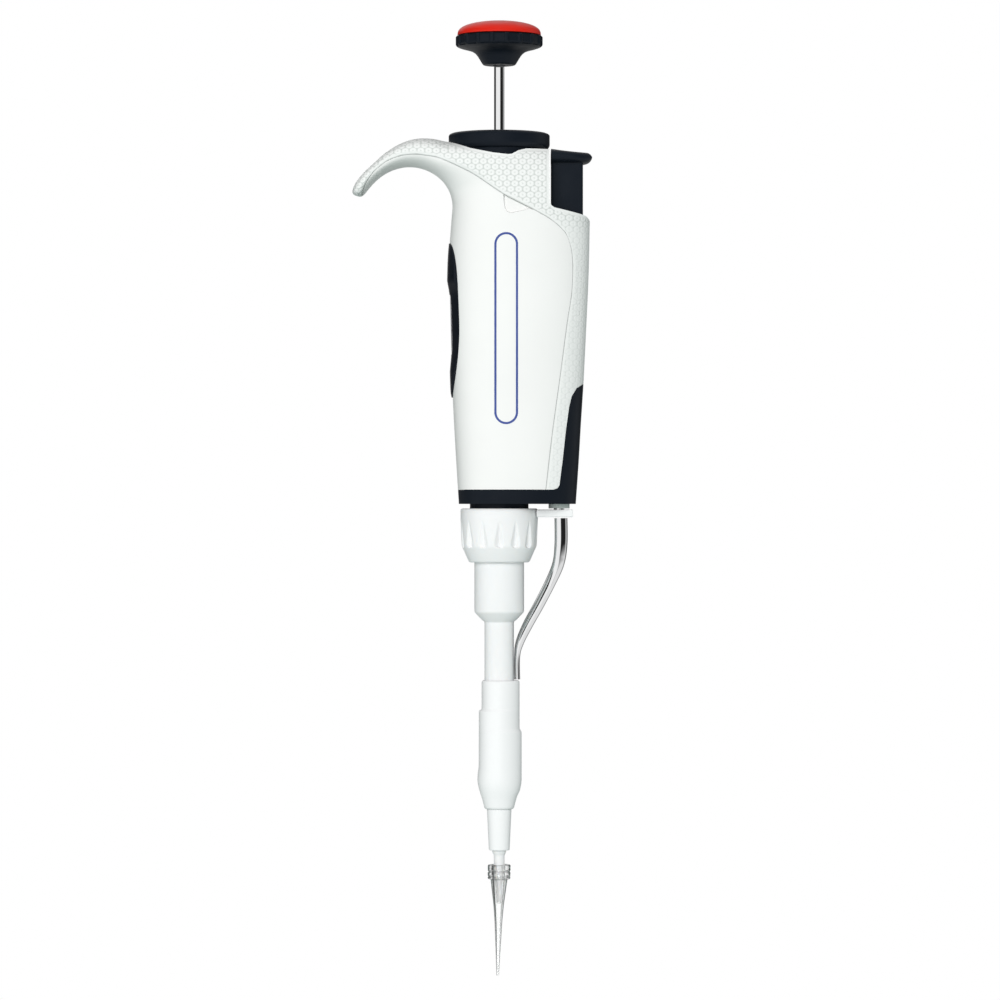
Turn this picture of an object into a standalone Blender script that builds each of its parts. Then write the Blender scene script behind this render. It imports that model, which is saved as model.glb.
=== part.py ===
"""A hand-held adjustable micropipette with a small tip on its end, in metres, +Z up.

The plunger's axis is the Z axis. The finger hook and the volume window are on the -X side and the
tip ejector is on the +X side. Lengths below are in millimetres, and heights are measured up from
the end of the tip. The origin is on the plunger's axis at the middle of the grip.
"""

import math

import bmesh
import bpy
import numpy as np
from mathutils import Vector

# ---------------------------------------------------------------- driving dimensions, millimetres
MM = 0.001
GRIP_HEIGHT = 190.0  # from the tip's end up to the frame's origin
GAP = 0.3  # between pieces that touch on the real object
WALL = 1.8  # of the moulded handle

# The rod and its button need room below them for 6 mm of volume setting and a 12 mm press, and
# the ejector for 10 mm. The rod's collar, shoulder and piston head all clear 18 mm downwards.

# Handle contours, each (height, x or half width)
BASE_BOTTOM = 136.6
HANDLE_TOP = 244.0
FRONT_CONTOUR = [
    (136.6, -11.7), (160.0, -13.1), (185.0, -14.0), (208.0, -14.4), (224.0, -13.5), (244.0, -13.5),
]
REAR_CONTOUR = [(136.6, 22.2), (171.0, 24.4), (203.0, 26.0), (244.0, 26.4)]
HALF_WIDTHS = [(136.6, 12.2), (171.0, 13.4), (200.0, 14.5), (220.0, 15.0), (244.0, 15.0)]
SECTION_HEIGHTS = (150.0, 160.0, 171.0, 185.0, 200.0, 208.0, 216.0, 224.0)
SECTION_POWER = 2.3  # of the superellipse: 2 is an ellipse
SECTION_EGG = 0.12  # how much narrower the rear of a section is than its front

# Finger hook: an arc about HOOK_CENTRE, as (angle, inner radius, outer radius, half width)
HOOK_CENTRE = (-26.0, 221.5)
HOOK_STATIONS = [
    (164.0, 14.9, 17.1, 5.2),
    (161.0, 14.2, 17.4, 6.4),
    (154.0, 13.6, 17.5, 7.3),
    (127.0, 13.0, 17.1, 9.0),
    (110.0, 12.9, 18.2, 10.2),
    (98.0, 12.9, 19.4, 11.2),
    (82.0, 12.9, 20.9, 12.4),
    (72.0, 12.9, 21.6, 13.2),
    (60.0, 12.9, 22.6, 14.0),
    (46.0, 12.9, 24.8, 14.4),
    (32.0, 13.0, 25.0, 14.4),
    (10.0, 13.6, 24.0, 13.6),
]
UNDERSIDE_FLAT = 0.2  # taken off the hook's underside, which leaves a flat saddle at its crown

# Outlines seen from the side, each (x, height)
SEAM = [
    (-50.0, 219.5), (-43.2, 226.4), (-38.4, 230.9), (-34.8, 234.5), (-30.6, 237.0), (-26.5, 237.9),
    (-22.4, 237.9), (-18.2, 237.0), (-13.0, 234.8), (-7.9, 232.1), (1.5, 226.7), (8.7, 222.8),
    (14.4, 219.2), (17.5, 216.9), (19.6, 214.8), (20.9, 210.7), (21.4, 205.3), (21.0, 197.3),
    (19.6, 188.2), (15.3, 157.1), (13.5, 141.5), (12.5, 130.0),
]
TOP_LINE = [
    (-15.1, 241.2), (-8.3, 238.5), (3.3, 236.9), (5.3, 237.5), (8.3, 238.6), (14.4, 238.6),
    (14.4, 223.3), (15.7, 221.6), (24.0, 220.0), (25.6, 219.3), (26.6, 218.0), (40.0, 217.0),
]
BASE_LINE = [
    (-40.0, 140.7), (15.6, 140.7), (17.3, 141.8), (17.6, 143.6), (18.3, 149.0), (19.3, 158.1),
    (20.2, 164.6), (21.0, 167.8), (22.3, 169.9), (24.4, 171.3), (40.0, 172.0),
]

# Volume window
WINDOW_HEIGHT = 189.7
WINDOW_HALF_LENGTH = 22.3
WINDOW_HALF_WIDTH = 8.9
WINDOW_POWERS = (4.0, 2.0)  # of its outline above and below the middle
LENS_HEIGHT = 188.3
LENS_HALF_LENGTH = 9.3
LENS_HALF_WIDTH = 4.6
LENS_POWERS = (5.0, 5.0)
BEZEL_PROUD = 0.5

# Adjusting ring, drive and mechanism
RING_RADIUS = 14.65
RING_TOP = 244.0
RING_BOTTOM = 239.2
HUB_RADIUS = 13.0
HUB_BOTTOM = 231.3
SLEEVE_OUTER = 6.2
SLEEVE_INNER = 4.8
FRAME_RADIUS = 11.2
FRAME_TOP = 230.0
FRAME_FLOOR = 169.5
DRUM_OUTER = 9.4
DRUM_INNER = 7.0
DRUM_HEIGHT = 5.6
DRUMS_TOP = 197.2
ROD_RADIUS = 1.5
ROD_BORE = 1.8
ROD_BOTTOM = 142.8

# Push button
BUTTON_TOP = 276.5
BUTTON_RADIUS = 12.6
BUTTON_BOTTOM = 263.7
CAP_RADIUS = 12.1
CAP_BOTTOM = 272.4

# Ejector
EJECTOR_X = 17.35
BUSH_RADIUS = 3.05
SPRING_SEAT = 174.5
COLUMN_FRONT = 15.0
COLUMN_REAR = 24.2
COLUMN_HALF_WIDTH = 5.0
COLUMN_BOTTOM = 219.4
STEM_REAR = 21.0
STEM_HALF_WIDTH = 4.5
STEM_BOTTOM = 209.0
ARM_CENTRES = [
    (17.9, 132.5), (17.9, 124.9), (17.1, 119.2), (14.75, 113.7), (11.45, 107.3), (8.4, 101.8),
    (6.1, 96.6), (5.32, 92.4), (5.32, 85.8),
]
ARM_HALF_DEPTHS = [1.9, 1.9, 1.75, 1.6, 1.55, 1.5, 1.15, 0.75, 0.75]
ARM_HALF_WIDTHS = [1.9, 1.9, 1.9, 1.95, 2.0, 2.0, 2.0, 1.9, 1.7]

# Nose: connecting nut, tip holder and tip
NUT_TOP = 135.3
NUT_RADIUS = 11.2
NUT_BOTTOM = 119.7
HOLDER_TOP = 133.0
HOLDER_RADIUS = 7.2
SHAFT_RADIUS = 4.26
SPRING_BORE = 5.8
CONE_END = 20.9
TIP_TOP = 32.1

COLLECTION = None
CUTTERS = None


# ------------------------------------------------------------------------------------------ helpers
def place(x, y, height):
    """The point in metres of a place given in millimetres, with its height above the tip's end."""
    return Vector((x, y, height - GRIP_HEIGHT)) * MM


def finish_piece(obj, material):
    """Give a piece its material and put it in the pipette's collection."""
    obj.data.materials.clear()
    obj.data.materials.append(material)
    if obj.name not in COLLECTION.objects:
        COLLECTION.objects.link(obj)
    return obj


def make_cutter(obj):
    """Put a guide body in the cutters' collection, where it is drawn as wire and not rendered."""
    if obj.name not in CUTTERS.objects:
        CUTTERS.objects.link(obj)
    obj.hide_render = True
    obj.display_type = "WIRE"
    return obj


def boolean(obj, other, operation):
    """Cut, keep or join with another closed body."""
    modifier = obj.modifiers.new(f"{operation.lower()}_{other.name}", "BOOLEAN")
    modifier.operation = operation
    modifier.object = other
    modifier.solver = "EXACT"
    return obj


def turned(name, profile, steps=24, axis_x=0.0):
    """A turned body: its (radius, height) points run down the outside and back up any bore."""
    mesh = bpy.data.meshes.new(name)
    count = len(profile)
    edges = [(i, i + 1) for i in range(count - 1)]
    if profile[0][0] > 0:
        edges.append((count - 1, 0))
    mesh.from_pydata([place(radius, 0, height) for radius, height in profile], edges, [])
    obj = bpy.data.objects.new(name, mesh)
    obj.location.x = axis_x * MM
    screw = obj.modifiers.new("turn", "SCREW")
    screw.steps = steps
    screw.render_steps = steps
    screw.use_merge_vertices = True
    screw.merge_threshold = 1e-6
    return obj


def tube_profile(outer, inner, top, bottom):
    """The profile of a plain ring or tube."""
    return [(outer, top), (outer, bottom), (inner, bottom), (inner, top)]


def cylinder(name, radius, bottom, top, x=0.0, y=0.0, sides=24):
    """A plain upright cylinder, used for holes and posts."""
    bm = bmesh.new()
    radius_m = radius * MM
    depth_m = (top - bottom) * MM
    bmesh.ops.create_cone(
        bm, cap_ends=True, segments=sides, radius1=radius_m, radius2=radius_m, depth=depth_m
    )
    bmesh.ops.translate(bm, verts=bm.verts, vec=place(x, y, (top + bottom) / 2))
    mesh = bpy.data.meshes.new(name)
    bm.to_mesh(mesh)
    bm.free()
    return bpy.data.objects.new(name, mesh)


def block(name, x_range, y_range, heights):
    """A plain block between pairs of limits."""
    bm = bmesh.new()
    bmesh.ops.create_cube(bm, size=1.0)
    size = [limits[1] - limits[0] for limits in (x_range, y_range, heights)]
    centre = place(sum(x_range) / 2, sum(y_range) / 2, sum(heights) / 2)
    bmesh.ops.scale(bm, verts=bm.verts, vec=Vector(size) * MM)
    bmesh.ops.translate(bm, verts=bm.verts, vec=centre)
    mesh = bpy.data.meshes.new(name)
    bm.to_mesh(mesh)
    bm.free()
    return bpy.data.objects.new(name, mesh)


def extruded(name, corners, direction):
    """A flat outline, given as points in metres, pushed along a direction."""
    bm = bmesh.new()
    face = bm.faces.new([bm.verts.new(corner) for corner in corners])
    result = bmesh.ops.extrude_face_region(bm, geom=[face])
    moved = [item for item in result["geom"] if isinstance(item, bmesh.types.BMVert)]
    bmesh.ops.translate(bm, verts=moved, vec=direction)
    bmesh.ops.recalc_face_normals(bm, faces=bm.faces)
    mesh = bpy.data.meshes.new(name)
    bm.to_mesh(mesh)
    bm.free()
    return bpy.data.objects.new(name, mesh)


def side_prism(name, outline, half_width=40.0):
    """An outline seen from the side, (x, height), made into a body across the pipette's width."""
    corners = [place(x, -half_width, height) for x, height in outline]
    return extruded(name, corners, Vector((0, 2 * half_width, 0)) * MM)


def loft(name, rings):
    """A closed body through rings of equal point counts, in metres."""
    bm = bmesh.new()
    rows = [[bm.verts.new(point) for point in ring] for ring in rings]
    for low, high in zip(rows, rows[1:]):
        for i in range(len(low)):
            j = (i + 1) % len(low)
            bm.faces.new((low[i], low[j], high[j], high[i]))
    bm.faces.new(rows[0])
    bm.faces.new(rows[-1])
    bmesh.ops.recalc_face_normals(bm, faces=bm.faces)
    mesh = bpy.data.meshes.new(name)
    bm.to_mesh(mesh)
    bm.free()
    mesh.shade_smooth()
    mesh.set_sharp_from_angle(angle=math.radians(35))
    return bpy.data.objects.new(name, mesh)


def superellipse(angle, power):
    """The two unit coordinates of a superellipse at an angle."""
    cosine = math.cos(angle)
    sine = math.sin(angle)
    exponent = 2.0 / power
    return (
        math.copysign(abs(cosine) ** exponent, cosine),
        math.copysign(abs(sine) ** exponent, sine),
    )


def coil(name, radius, wire, bottom, top, turns, axis_x=0.0):
    """A compression spring with its wire's outer faces at the two given heights."""
    points_per_turn = 8
    count = turns * points_per_turn
    curve = bpy.data.curves.new(name, "CURVE")
    curve.dimensions = "3D"
    curve.bevel_depth = wire / 2 * MM
    curve.bevel_resolution = 2
    curve.use_fill_caps = True
    spline = curve.splines.new("POLY")
    spline.points.add(count)
    low = bottom + wire / 2
    high = top - wire / 2
    for i in range(count + 1):
        angle = 2 * math.pi * i / points_per_turn
        height = low + (high - low) * i / count
        point = place(radius * math.cos(angle), radius * math.sin(angle), height)
        spline.points[i].co = (*point, 1.0)
    obj = bpy.data.objects.new(name, curve)
    obj.location.x = axis_x * MM
    return obj


def shifted_line(line, distance):
    """A polyline moved sideways, to its left as it runs, by a distance."""
    moved = []
    for i, point in enumerate(line):
        before = Vector(line[max(i - 1, 0)])
        after = Vector(line[min(i + 1, len(line) - 1)])
        along = (after - before).normalized()
        moved.append((point[0] - along.y * distance, point[1] + along.x * distance))
    return moved


def smooth_path(points, count):
    """Points at even parameters on a Catmull-Rom curve through a list of tuples."""
    table = np.array([points[0], *points, points[-1]], dtype=float)
    path = []
    for t in np.linspace(0, len(points) - 1, count):
        k = min(int(t), len(points) - 2)
        u = t - k
        a, b, c, d = table[k : k + 4]
        square = 2 * a - 5 * b + 4 * c - d
        cube = 3 * b - a - 3 * c + d
        path.append(0.5 * (2 * b + (c - a) * u + square * u**2 + cube * u**3))
    return path


def plastic(name, colour, roughness, metallic=0.0):
    """A material with one colour, roughness and metallic value."""
    material = bpy.data.materials.new(name)
    material.use_nodes = True
    shader = material.node_tree.nodes["Principled BSDF"]
    shader.inputs["Base Color"].default_value = (*colour, 1.0)
    shader.inputs["Roughness"].default_value = roughness
    shader.inputs["Metallic"].default_value = metallic
    return material


# ------------------------------------------------------------------------------------------- handle
def contour(points, height):
    """The value of a handle contour at a height."""
    heights = [point[0] for point in points]
    values = [point[1] for point in points]
    return float(np.interp(height, heights, values))


def handle_section(height, inset, sides=36):
    """The handle's egg-shaped outline at a height, moved inwards by an inset."""
    front = contour(FRONT_CONTOUR, height) + inset
    rear = contour(REAR_CONTOUR, height) - inset
    half_width = contour(HALF_WIDTHS, height) - inset
    ring = []
    for i in range(sides):
        along, across = superellipse(2 * math.pi * i / sides, SECTION_POWER)
        x = (front + rear) / 2 + (rear - front) / 2 * along
        y = half_width * across * (1 - SECTION_EGG * along)
        ring.append(place(x, y, height))
    return ring


def handle_body(name, inset, bottom, top):
    """The handle's outer form without its hook, or a smaller form for its inside."""
    heights = [height for height in SECTION_HEIGHTS if bottom + 2 < height < top - 2]
    return loft(name, [handle_section(height, inset) for height in (bottom, *heights, top)])


def hook_body():
    """The finger hook: rounded sections along its arc, from its end back into the handle."""
    rings = []
    for degrees, inner, outer, half_width in HOOK_STATIONS:
        angle = math.radians(degrees)
        middle = (inner + outer) / 2
        half_depth = (outer - inner) / 2
        ring = []
        for i in range(20):
            along, across = superellipse(2 * math.pi * i / 20, 2.6)
            reach = max(middle + half_depth * along, inner + UNDERSIDE_FLAT)
            x = HOOK_CENTRE[0] + reach * math.cos(angle)
            height = HOOK_CENTRE[1] + reach * math.sin(angle)
            ring.append(place(x, half_width * across, height))
        rings.append(ring)
    return loft("hook_form", rings)


def window_prism(name, centre_height, half_length, half_width, x_range, powers, sides=28):
    """A rounded upright window shape, its upper and lower halves of two powers, pushed back along X."""
    corners = []
    for i in range(sides):
        angle = 2 * math.pi * i / sides
        along, across = superellipse(angle, powers[0] if math.cos(angle) > 0 else powers[1])
        corners.append(place(x_range[0], half_width * across, centre_height + half_length * along))
    return extruded(name, corners, Vector((x_range[1] - x_range[0], 0, 0)) * MM)


def handle_guides():
    """The bodies that the handle's pieces are cut from and cut with."""
    guides = {
        "outside": handle_body("handle_outside", 0.0, BASE_BOTTOM, HANDLE_TOP),
        "hook": hook_body(),
        "inside": handle_body("handle_inside", WALL, BASE_BOTTOM + WALL, HUB_BOTTOM - 0.7),
        "inside_rear": block("inside_rear", (12.6, 40), (-30, 30), (219.4, 260)),
        "above": side_prism("above_handle", [(-15.1, 270), *TOP_LINE, (40, 270)]),
        "front": side_prism("front_region", [(-60, 219.5), *SEAM, (-60, 130)]),
        "front_wide": side_prism(
            "front_region_wide", [(-60, 219.5 + GAP), *shifted_line(SEAM, GAP), (-60, 129)]
        ),
        "base": side_prism("base_region", [*BASE_LINE, (40, 120), (-40, 120)]),
        "base_wide": side_prism("base_region_wide", [*shifted_line(BASE_LINE, GAP), (41, 119), (-40, 119)]),
        "ring_recess": cylinder("ring_recess", RING_RADIUS + 0.35, RING_BOTTOM - 0.4, 260, sides=48),
        "hub_bore": cylinder("hub_bore", HUB_RADIUS + 0.4, HUB_BOTTOM - 1.2, 260, sides=48),
        "column_slot": block(
            "column_slot",
            (COLUMN_FRONT - 0.4, COLUMN_REAR + 0.4),
            (-COLUMN_HALF_WIDTH - 0.4, COLUMN_HALF_WIDTH + 0.4),
            (208.5, 223.2),
        ),
        "window": window_prism(
            "window_hole",
            WINDOW_HEIGHT,
            WINDOW_HALF_LENGTH + GAP,
            WINDOW_HALF_WIDTH + GAP,
            (-20, -6),
            WINDOW_POWERS,
        ),
        "neck_hole": cylinder("neck_hole", 8.8, 130, 145, sides=32),
        "bush_hole": cylinder("bush_hole", BUSH_RADIUS + GAP, 130, 145, x=EJECTOR_X),
    }
    for guide in guides.values():
        make_cutter(guide)
    boolean(guides["inside"], guides["inside_rear"], "DIFFERENCE")
    return guides


def handle_piece(name, guides):
    """The whole hollow handle, which each shell is then cut from."""
    piece = guides["outside"].copy()
    piece.name = name
    piece.data = guides["outside"].data.copy()
    piece.hide_render = False
    piece.display_type = "TEXTURED"
    boolean(piece, guides["hook"], "UNION")
    for key in ("above", "inside", "ring_recess", "hub_bore", "column_slot"):
        boolean(piece, guides[key], "DIFFERENCE")
    return piece


def make_handle(guides, materials):
    """The front shell, the textured rear shell and the base cover."""
    front = handle_piece("front_shell", guides)
    boolean(front, guides["front"], "INTERSECT")
    boolean(front, guides["base_wide"], "DIFFERENCE")
    boolean(front, guides["window"], "DIFFERENCE")
    finish_piece(front, materials["smooth_white"])

    rear = handle_piece("rear_shell", guides)
    boolean(rear, guides["front_wide"], "DIFFERENCE")
    boolean(rear, guides["base_wide"], "DIFFERENCE")
    finish_piece(rear, materials["textured_white"])

    base = guides["outside"].copy()
    base.name = "base_cover"
    base.data = guides["outside"].data.copy()
    base.hide_render = False
    base.display_type = "TEXTURED"
    boolean(base, guides["base"], "INTERSECT")
    for key in ("inside", "neck_hole", "bush_hole"):
        boolean(base, guides[key], "DIFFERENCE")
    finish_piece(base, materials["black"])


def make_window(guides, materials):
    """The black bezel round the volume window and the clear lens in it."""
    outline = window_prism(
        "bezel_outline", WINDOW_HEIGHT, WINDOW_HALF_LENGTH, WINDOW_HALF_WIDTH, (-20, -8), WINDOW_POWERS
    )
    lens_hole = window_prism(
        "lens_hole", LENS_HEIGHT, LENS_HALF_LENGTH + GAP, LENS_HALF_WIDTH + GAP, (-22, -5), LENS_POWERS
    )
    lens_outline = window_prism(
        "lens_outline", LENS_HEIGHT, LENS_HALF_LENGTH, LENS_HALF_WIDTH, (-20, -8), LENS_POWERS
    )
    for guide in (outline, lens_hole, lens_outline):
        make_cutter(guide)

    bezel = handle_body("window_bezel", -BEZEL_PROUD, 160.0, 220.0)
    boolean(bezel, guides["inside"], "DIFFERENCE")
    boolean(bezel, outline, "INTERSECT")
    boolean(bezel, lens_hole, "DIFFERENCE")
    finish_piece(bezel, materials["black"])

    lens = handle_body("window_lens", 0.0, 170.0, 208.0)
    boolean(lens, guides["inside"], "DIFFERENCE")
    boolean(lens, lens_outline, "INTERSECT")
    finish_piece(lens, materials["clear"])


# ------------------------------------------------------------------------- volume drive and plunger
def make_frame(materials):
    """The inner frame: a top and a bottom plate joined by two posts, with the spring's seat."""
    plates = turned(
        "mechanism_frame",
        [
            (FRAME_RADIUS, FRAME_TOP), (FRAME_RADIUS, 225.5), (6.8, 225.5), (6.8, 227.0),
            (8.9, 227.0), (8.9, FRAME_TOP),
        ],
        28,
    )
    floor = turned(
        "frame_floor",
        [
            (FRAME_RADIUS - 0.9, 174.5), (FRAME_RADIUS - 0.9, 163.0), (8.8, 163.0), (8.8, FRAME_FLOOR),
            (6.8, FRAME_FLOOR), (6.8, 171.0), (8.3, 171.0), (8.3, 174.5),
        ],
        28,
    )
    tab = block("frame_tab", (9.4, 20.4), (-4.5, 4.5), (172.3, SPRING_SEAT))
    hole = cylinder("frame_tab_hole", ROD_BORE, 160, 180, x=EJECTOR_X)
    posts = [
        cylinder(f"frame_post_{side}", 1.3, 172.0, 229.0, x=6.4, y=9.1 * sign, sides=12)
        for side, sign in (("near", -1), ("far", 1))
    ]
    for guide in (floor, tab, hole, *posts):
        make_cutter(guide)
    for guide in (floor, tab, *posts):
        boolean(plates, guide, "UNION")
    boolean(plates, hole, "DIFFERENCE")
    finish_piece(plates, materials["grey"])
    finish_piece(turned("top_bearing", tube_profile(8.6, 6.5, 229.7, 227.3)), materials["brass"])
    finish_piece(turned("lower_bearing", tube_profile(8.0, 6.5, 174.3, 171.3)), materials["brass"])


def make_volume_drive(materials):
    """The adjusting ring, its drive sleeve, the travelling stop and the three number drums."""
    ring = turned(
        "adjusting_ring",
        [
            (RING_RADIUS - 1.0, RING_TOP), (RING_RADIUS - 0.3, RING_TOP - 0.3),
            (RING_RADIUS, RING_TOP - 1.0), (RING_RADIUS, RING_BOTTOM + 1.2),
            (RING_RADIUS - 1.0, RING_BOTTOM), (HUB_RADIUS, RING_BOTTOM), (HUB_RADIUS, HUB_BOTTOM),
            (ROD_BORE, HUB_BOTTOM), (ROD_BORE, RING_TOP),
        ],
        48,
    )
    finish_piece(ring, materials["black"])
    finish_piece(
        turned("drive_sleeve", tube_profile(SLEEVE_OUTER, SLEEVE_INNER, HUB_BOTTOM - GAP, 172.0)),
        materials["steel"],
    )
    finish_piece(turned("stop_nut", tube_profile(4.5, ROD_BORE, 220.0, 212.0)), materials["brass"])
    for i, name in enumerate(("drum_hundreds", "drum_tens", "drum_units")):
        top = DRUMS_TOP - i * (DRUM_HEIGHT + GAP)
        drum = turned(name, tube_profile(DRUM_OUTER, DRUM_INNER, top, top - DRUM_HEIGHT), 30)
        finish_piece(drum, materials["drum_black"])


def make_plunger(materials):
    """The push button and its cap, the rod with its stop collar, and the piston it pushes."""
    cap = turned(
        "button_cap",
        [
            (0, BUTTON_TOP), (6.4, BUTTON_TOP), (8.6, 276.2), (10.1, 275.5), (11.2, 274.5), (11.9, 273.3),
            (CAP_RADIUS, CAP_BOTTOM), (5.0, CAP_BOTTOM), (5.0, 270.9), (0, 270.9),
        ],
        32,
    )
    finish_piece(cap, materials["red"])
    button = turned(
        "push_button",
        [
            (BUTTON_RADIUS - 0.3, CAP_BOTTOM - GAP), (BUTTON_RADIUS, 271.7), (BUTTON_RADIUS, 269.5),
            (BUTTON_RADIUS - 0.4, 269.0), (10.6, 268.5), (8.0, 267.9), (6.4, 266.9), (5.4, 265.5),
            (4.7, 264.0), (4.4, BUTTON_BOTTOM), (ROD_BORE, BUTTON_BOTTOM), (ROD_BORE, 270.6), (5.3, 270.6),
            (5.3, CAP_BOTTOM - GAP),
        ],
        32,
    )
    finish_piece(button, materials["black"])
    rod = turned(
        "plunger_rod",
        [
            (0, 270.3), (ROD_RADIUS, 270.3), (ROD_RADIUS, 182.0), (3.0, 182.0), (3.0, 180.0),
            (ROD_RADIUS, 180.0), (ROD_RADIUS, ROD_BOTTOM), (0, ROD_BOTTOM),
        ],
        20,
    )
    finish_piece(rod, materials["steel"])
    finish_piece(turned("stop_collar", tube_profile(4.2, ROD_BORE, 211.7, 208.7)), materials["steel"])
    finish_piece(
        turned("piston_head", [(0, 142.5), (5.4, 142.5), (5.4, 140.0), (0, 140.0)]), materials["grey"]
    )
    piston = turned("piston", [(0, 139.7), (0.6, 139.7), (0.6, 95.0), (0, 95.0)], 12)
    finish_piece(piston, materials["steel"])


def make_neck(materials):
    """The neck that carries the nose, and the blow-out spring and plate inside it."""
    neck = turned(
        "coupling_neck",
        [
            (8.5, 169.2), (8.5, 141.0), (9.9, 141.0), (9.9, 138.7), (8.5, 138.7), (8.5, 133.4),
            (6.2, 133.4), (6.2, 148.0), (2.2, 148.0), (2.2, 150.0), (6.2, 150.0), (6.2, 169.2),
        ],
        32,
    )
    finish_piece(neck, materials["black"])
    finish_piece(turned("blowout_plate", tube_profile(5.8, 2.2, 161.7, 160.0)), materials["steel"])
    finish_piece(coil("blowout_spring", 4.4, 1.2, 150.3, 159.7, 4), materials["steel"])


# --------------------------------------------------------------------------------------------- nose
def make_nose(materials):
    """The connecting nut, and the tip holder with its seal, return spring and tip."""
    nut = turned(
        "connecting_nut",
        [
            (NUT_RADIUS - 0.5, NUT_TOP), (NUT_RADIUS, NUT_TOP - 0.5), (10.9, 125.0), (10.3, 123.6),
            (8.9, 120.0), (8.7, NUT_BOTTOM), (7.5, NUT_BOTTOM), (7.5, 130.6), (8.9, 130.6), (8.9, NUT_TOP),
        ],
        36,
    )
    finish_piece(nut, materials["nose_white"])
    holder = turned(
        "tip_holder",
        [
            (8.2, HOLDER_TOP), (8.2, 131.0), (HOLDER_RADIUS, 131.0), (HOLDER_RADIUS, 105.3), (4.8, 102.9),
            (SHAFT_RADIUS, 102.6), (SHAFT_RADIUS, 57.6), (SHAFT_RADIUS - 0.6, 57.0), (2.0, 57.0),
            (2.0, 35.0),
            (1.55, 35.0), (1.5, 31.5), (0.75, CONE_END), (0.3, CONE_END), (0.3, 70.0), (0.9, 71.0),
            (0.9, 107.0), (SPRING_BORE, 107.0), (SPRING_BORE, HOLDER_TOP),
        ],
        28,
    )
    finish_piece(holder, materials["nose_white"])
    finish_piece(turned("piston_seal", tube_profile(5.5, 0.9, 109.0, 107.3), 20), materials["seal_white"])
    o_ring = turned(
        "seal_oring",
        [
            (1.6 + 0.7 * math.cos(-a), 110.0 + 0.6 * math.sin(-a))
            for a in [2 * math.pi * i / 8 for i in range(8)]
        ],
        20,
    )
    finish_piece(o_ring, materials["rubber"])
    washer = turned(
        "spring_washer",
        [(5.5, 111.9), (5.5, 109.3), (2.7, 109.3), (2.7, 110.9), (0.9, 110.9), (0.9, 111.9)],
    )
    finish_piece(washer, materials["grey"])
    finish_piece(coil("return_spring", 4.6, 0.9, 112.2, 139.7, 7), materials["steel"])
    tip = turned(
        "disposable_tip",
        [
            (3.1, TIP_TOP), (3.3, 31.8), (3.3, 30.6), (2.95, 30.3), (3.3, 30.0), (3.3, 28.3), (2.45, 28.0),
            (1.5, 20.4), (1.1, 15.5), (0.35, 0.0), (0.15, 0.0), (0.7, 15.5), (1.05, 20.1), (1.2, 21.3),
            (1.85, 31.0), (1.95, TIP_TOP),
        ],
        28,
    )
    finish_piece(tip, materials["clear"])


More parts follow.
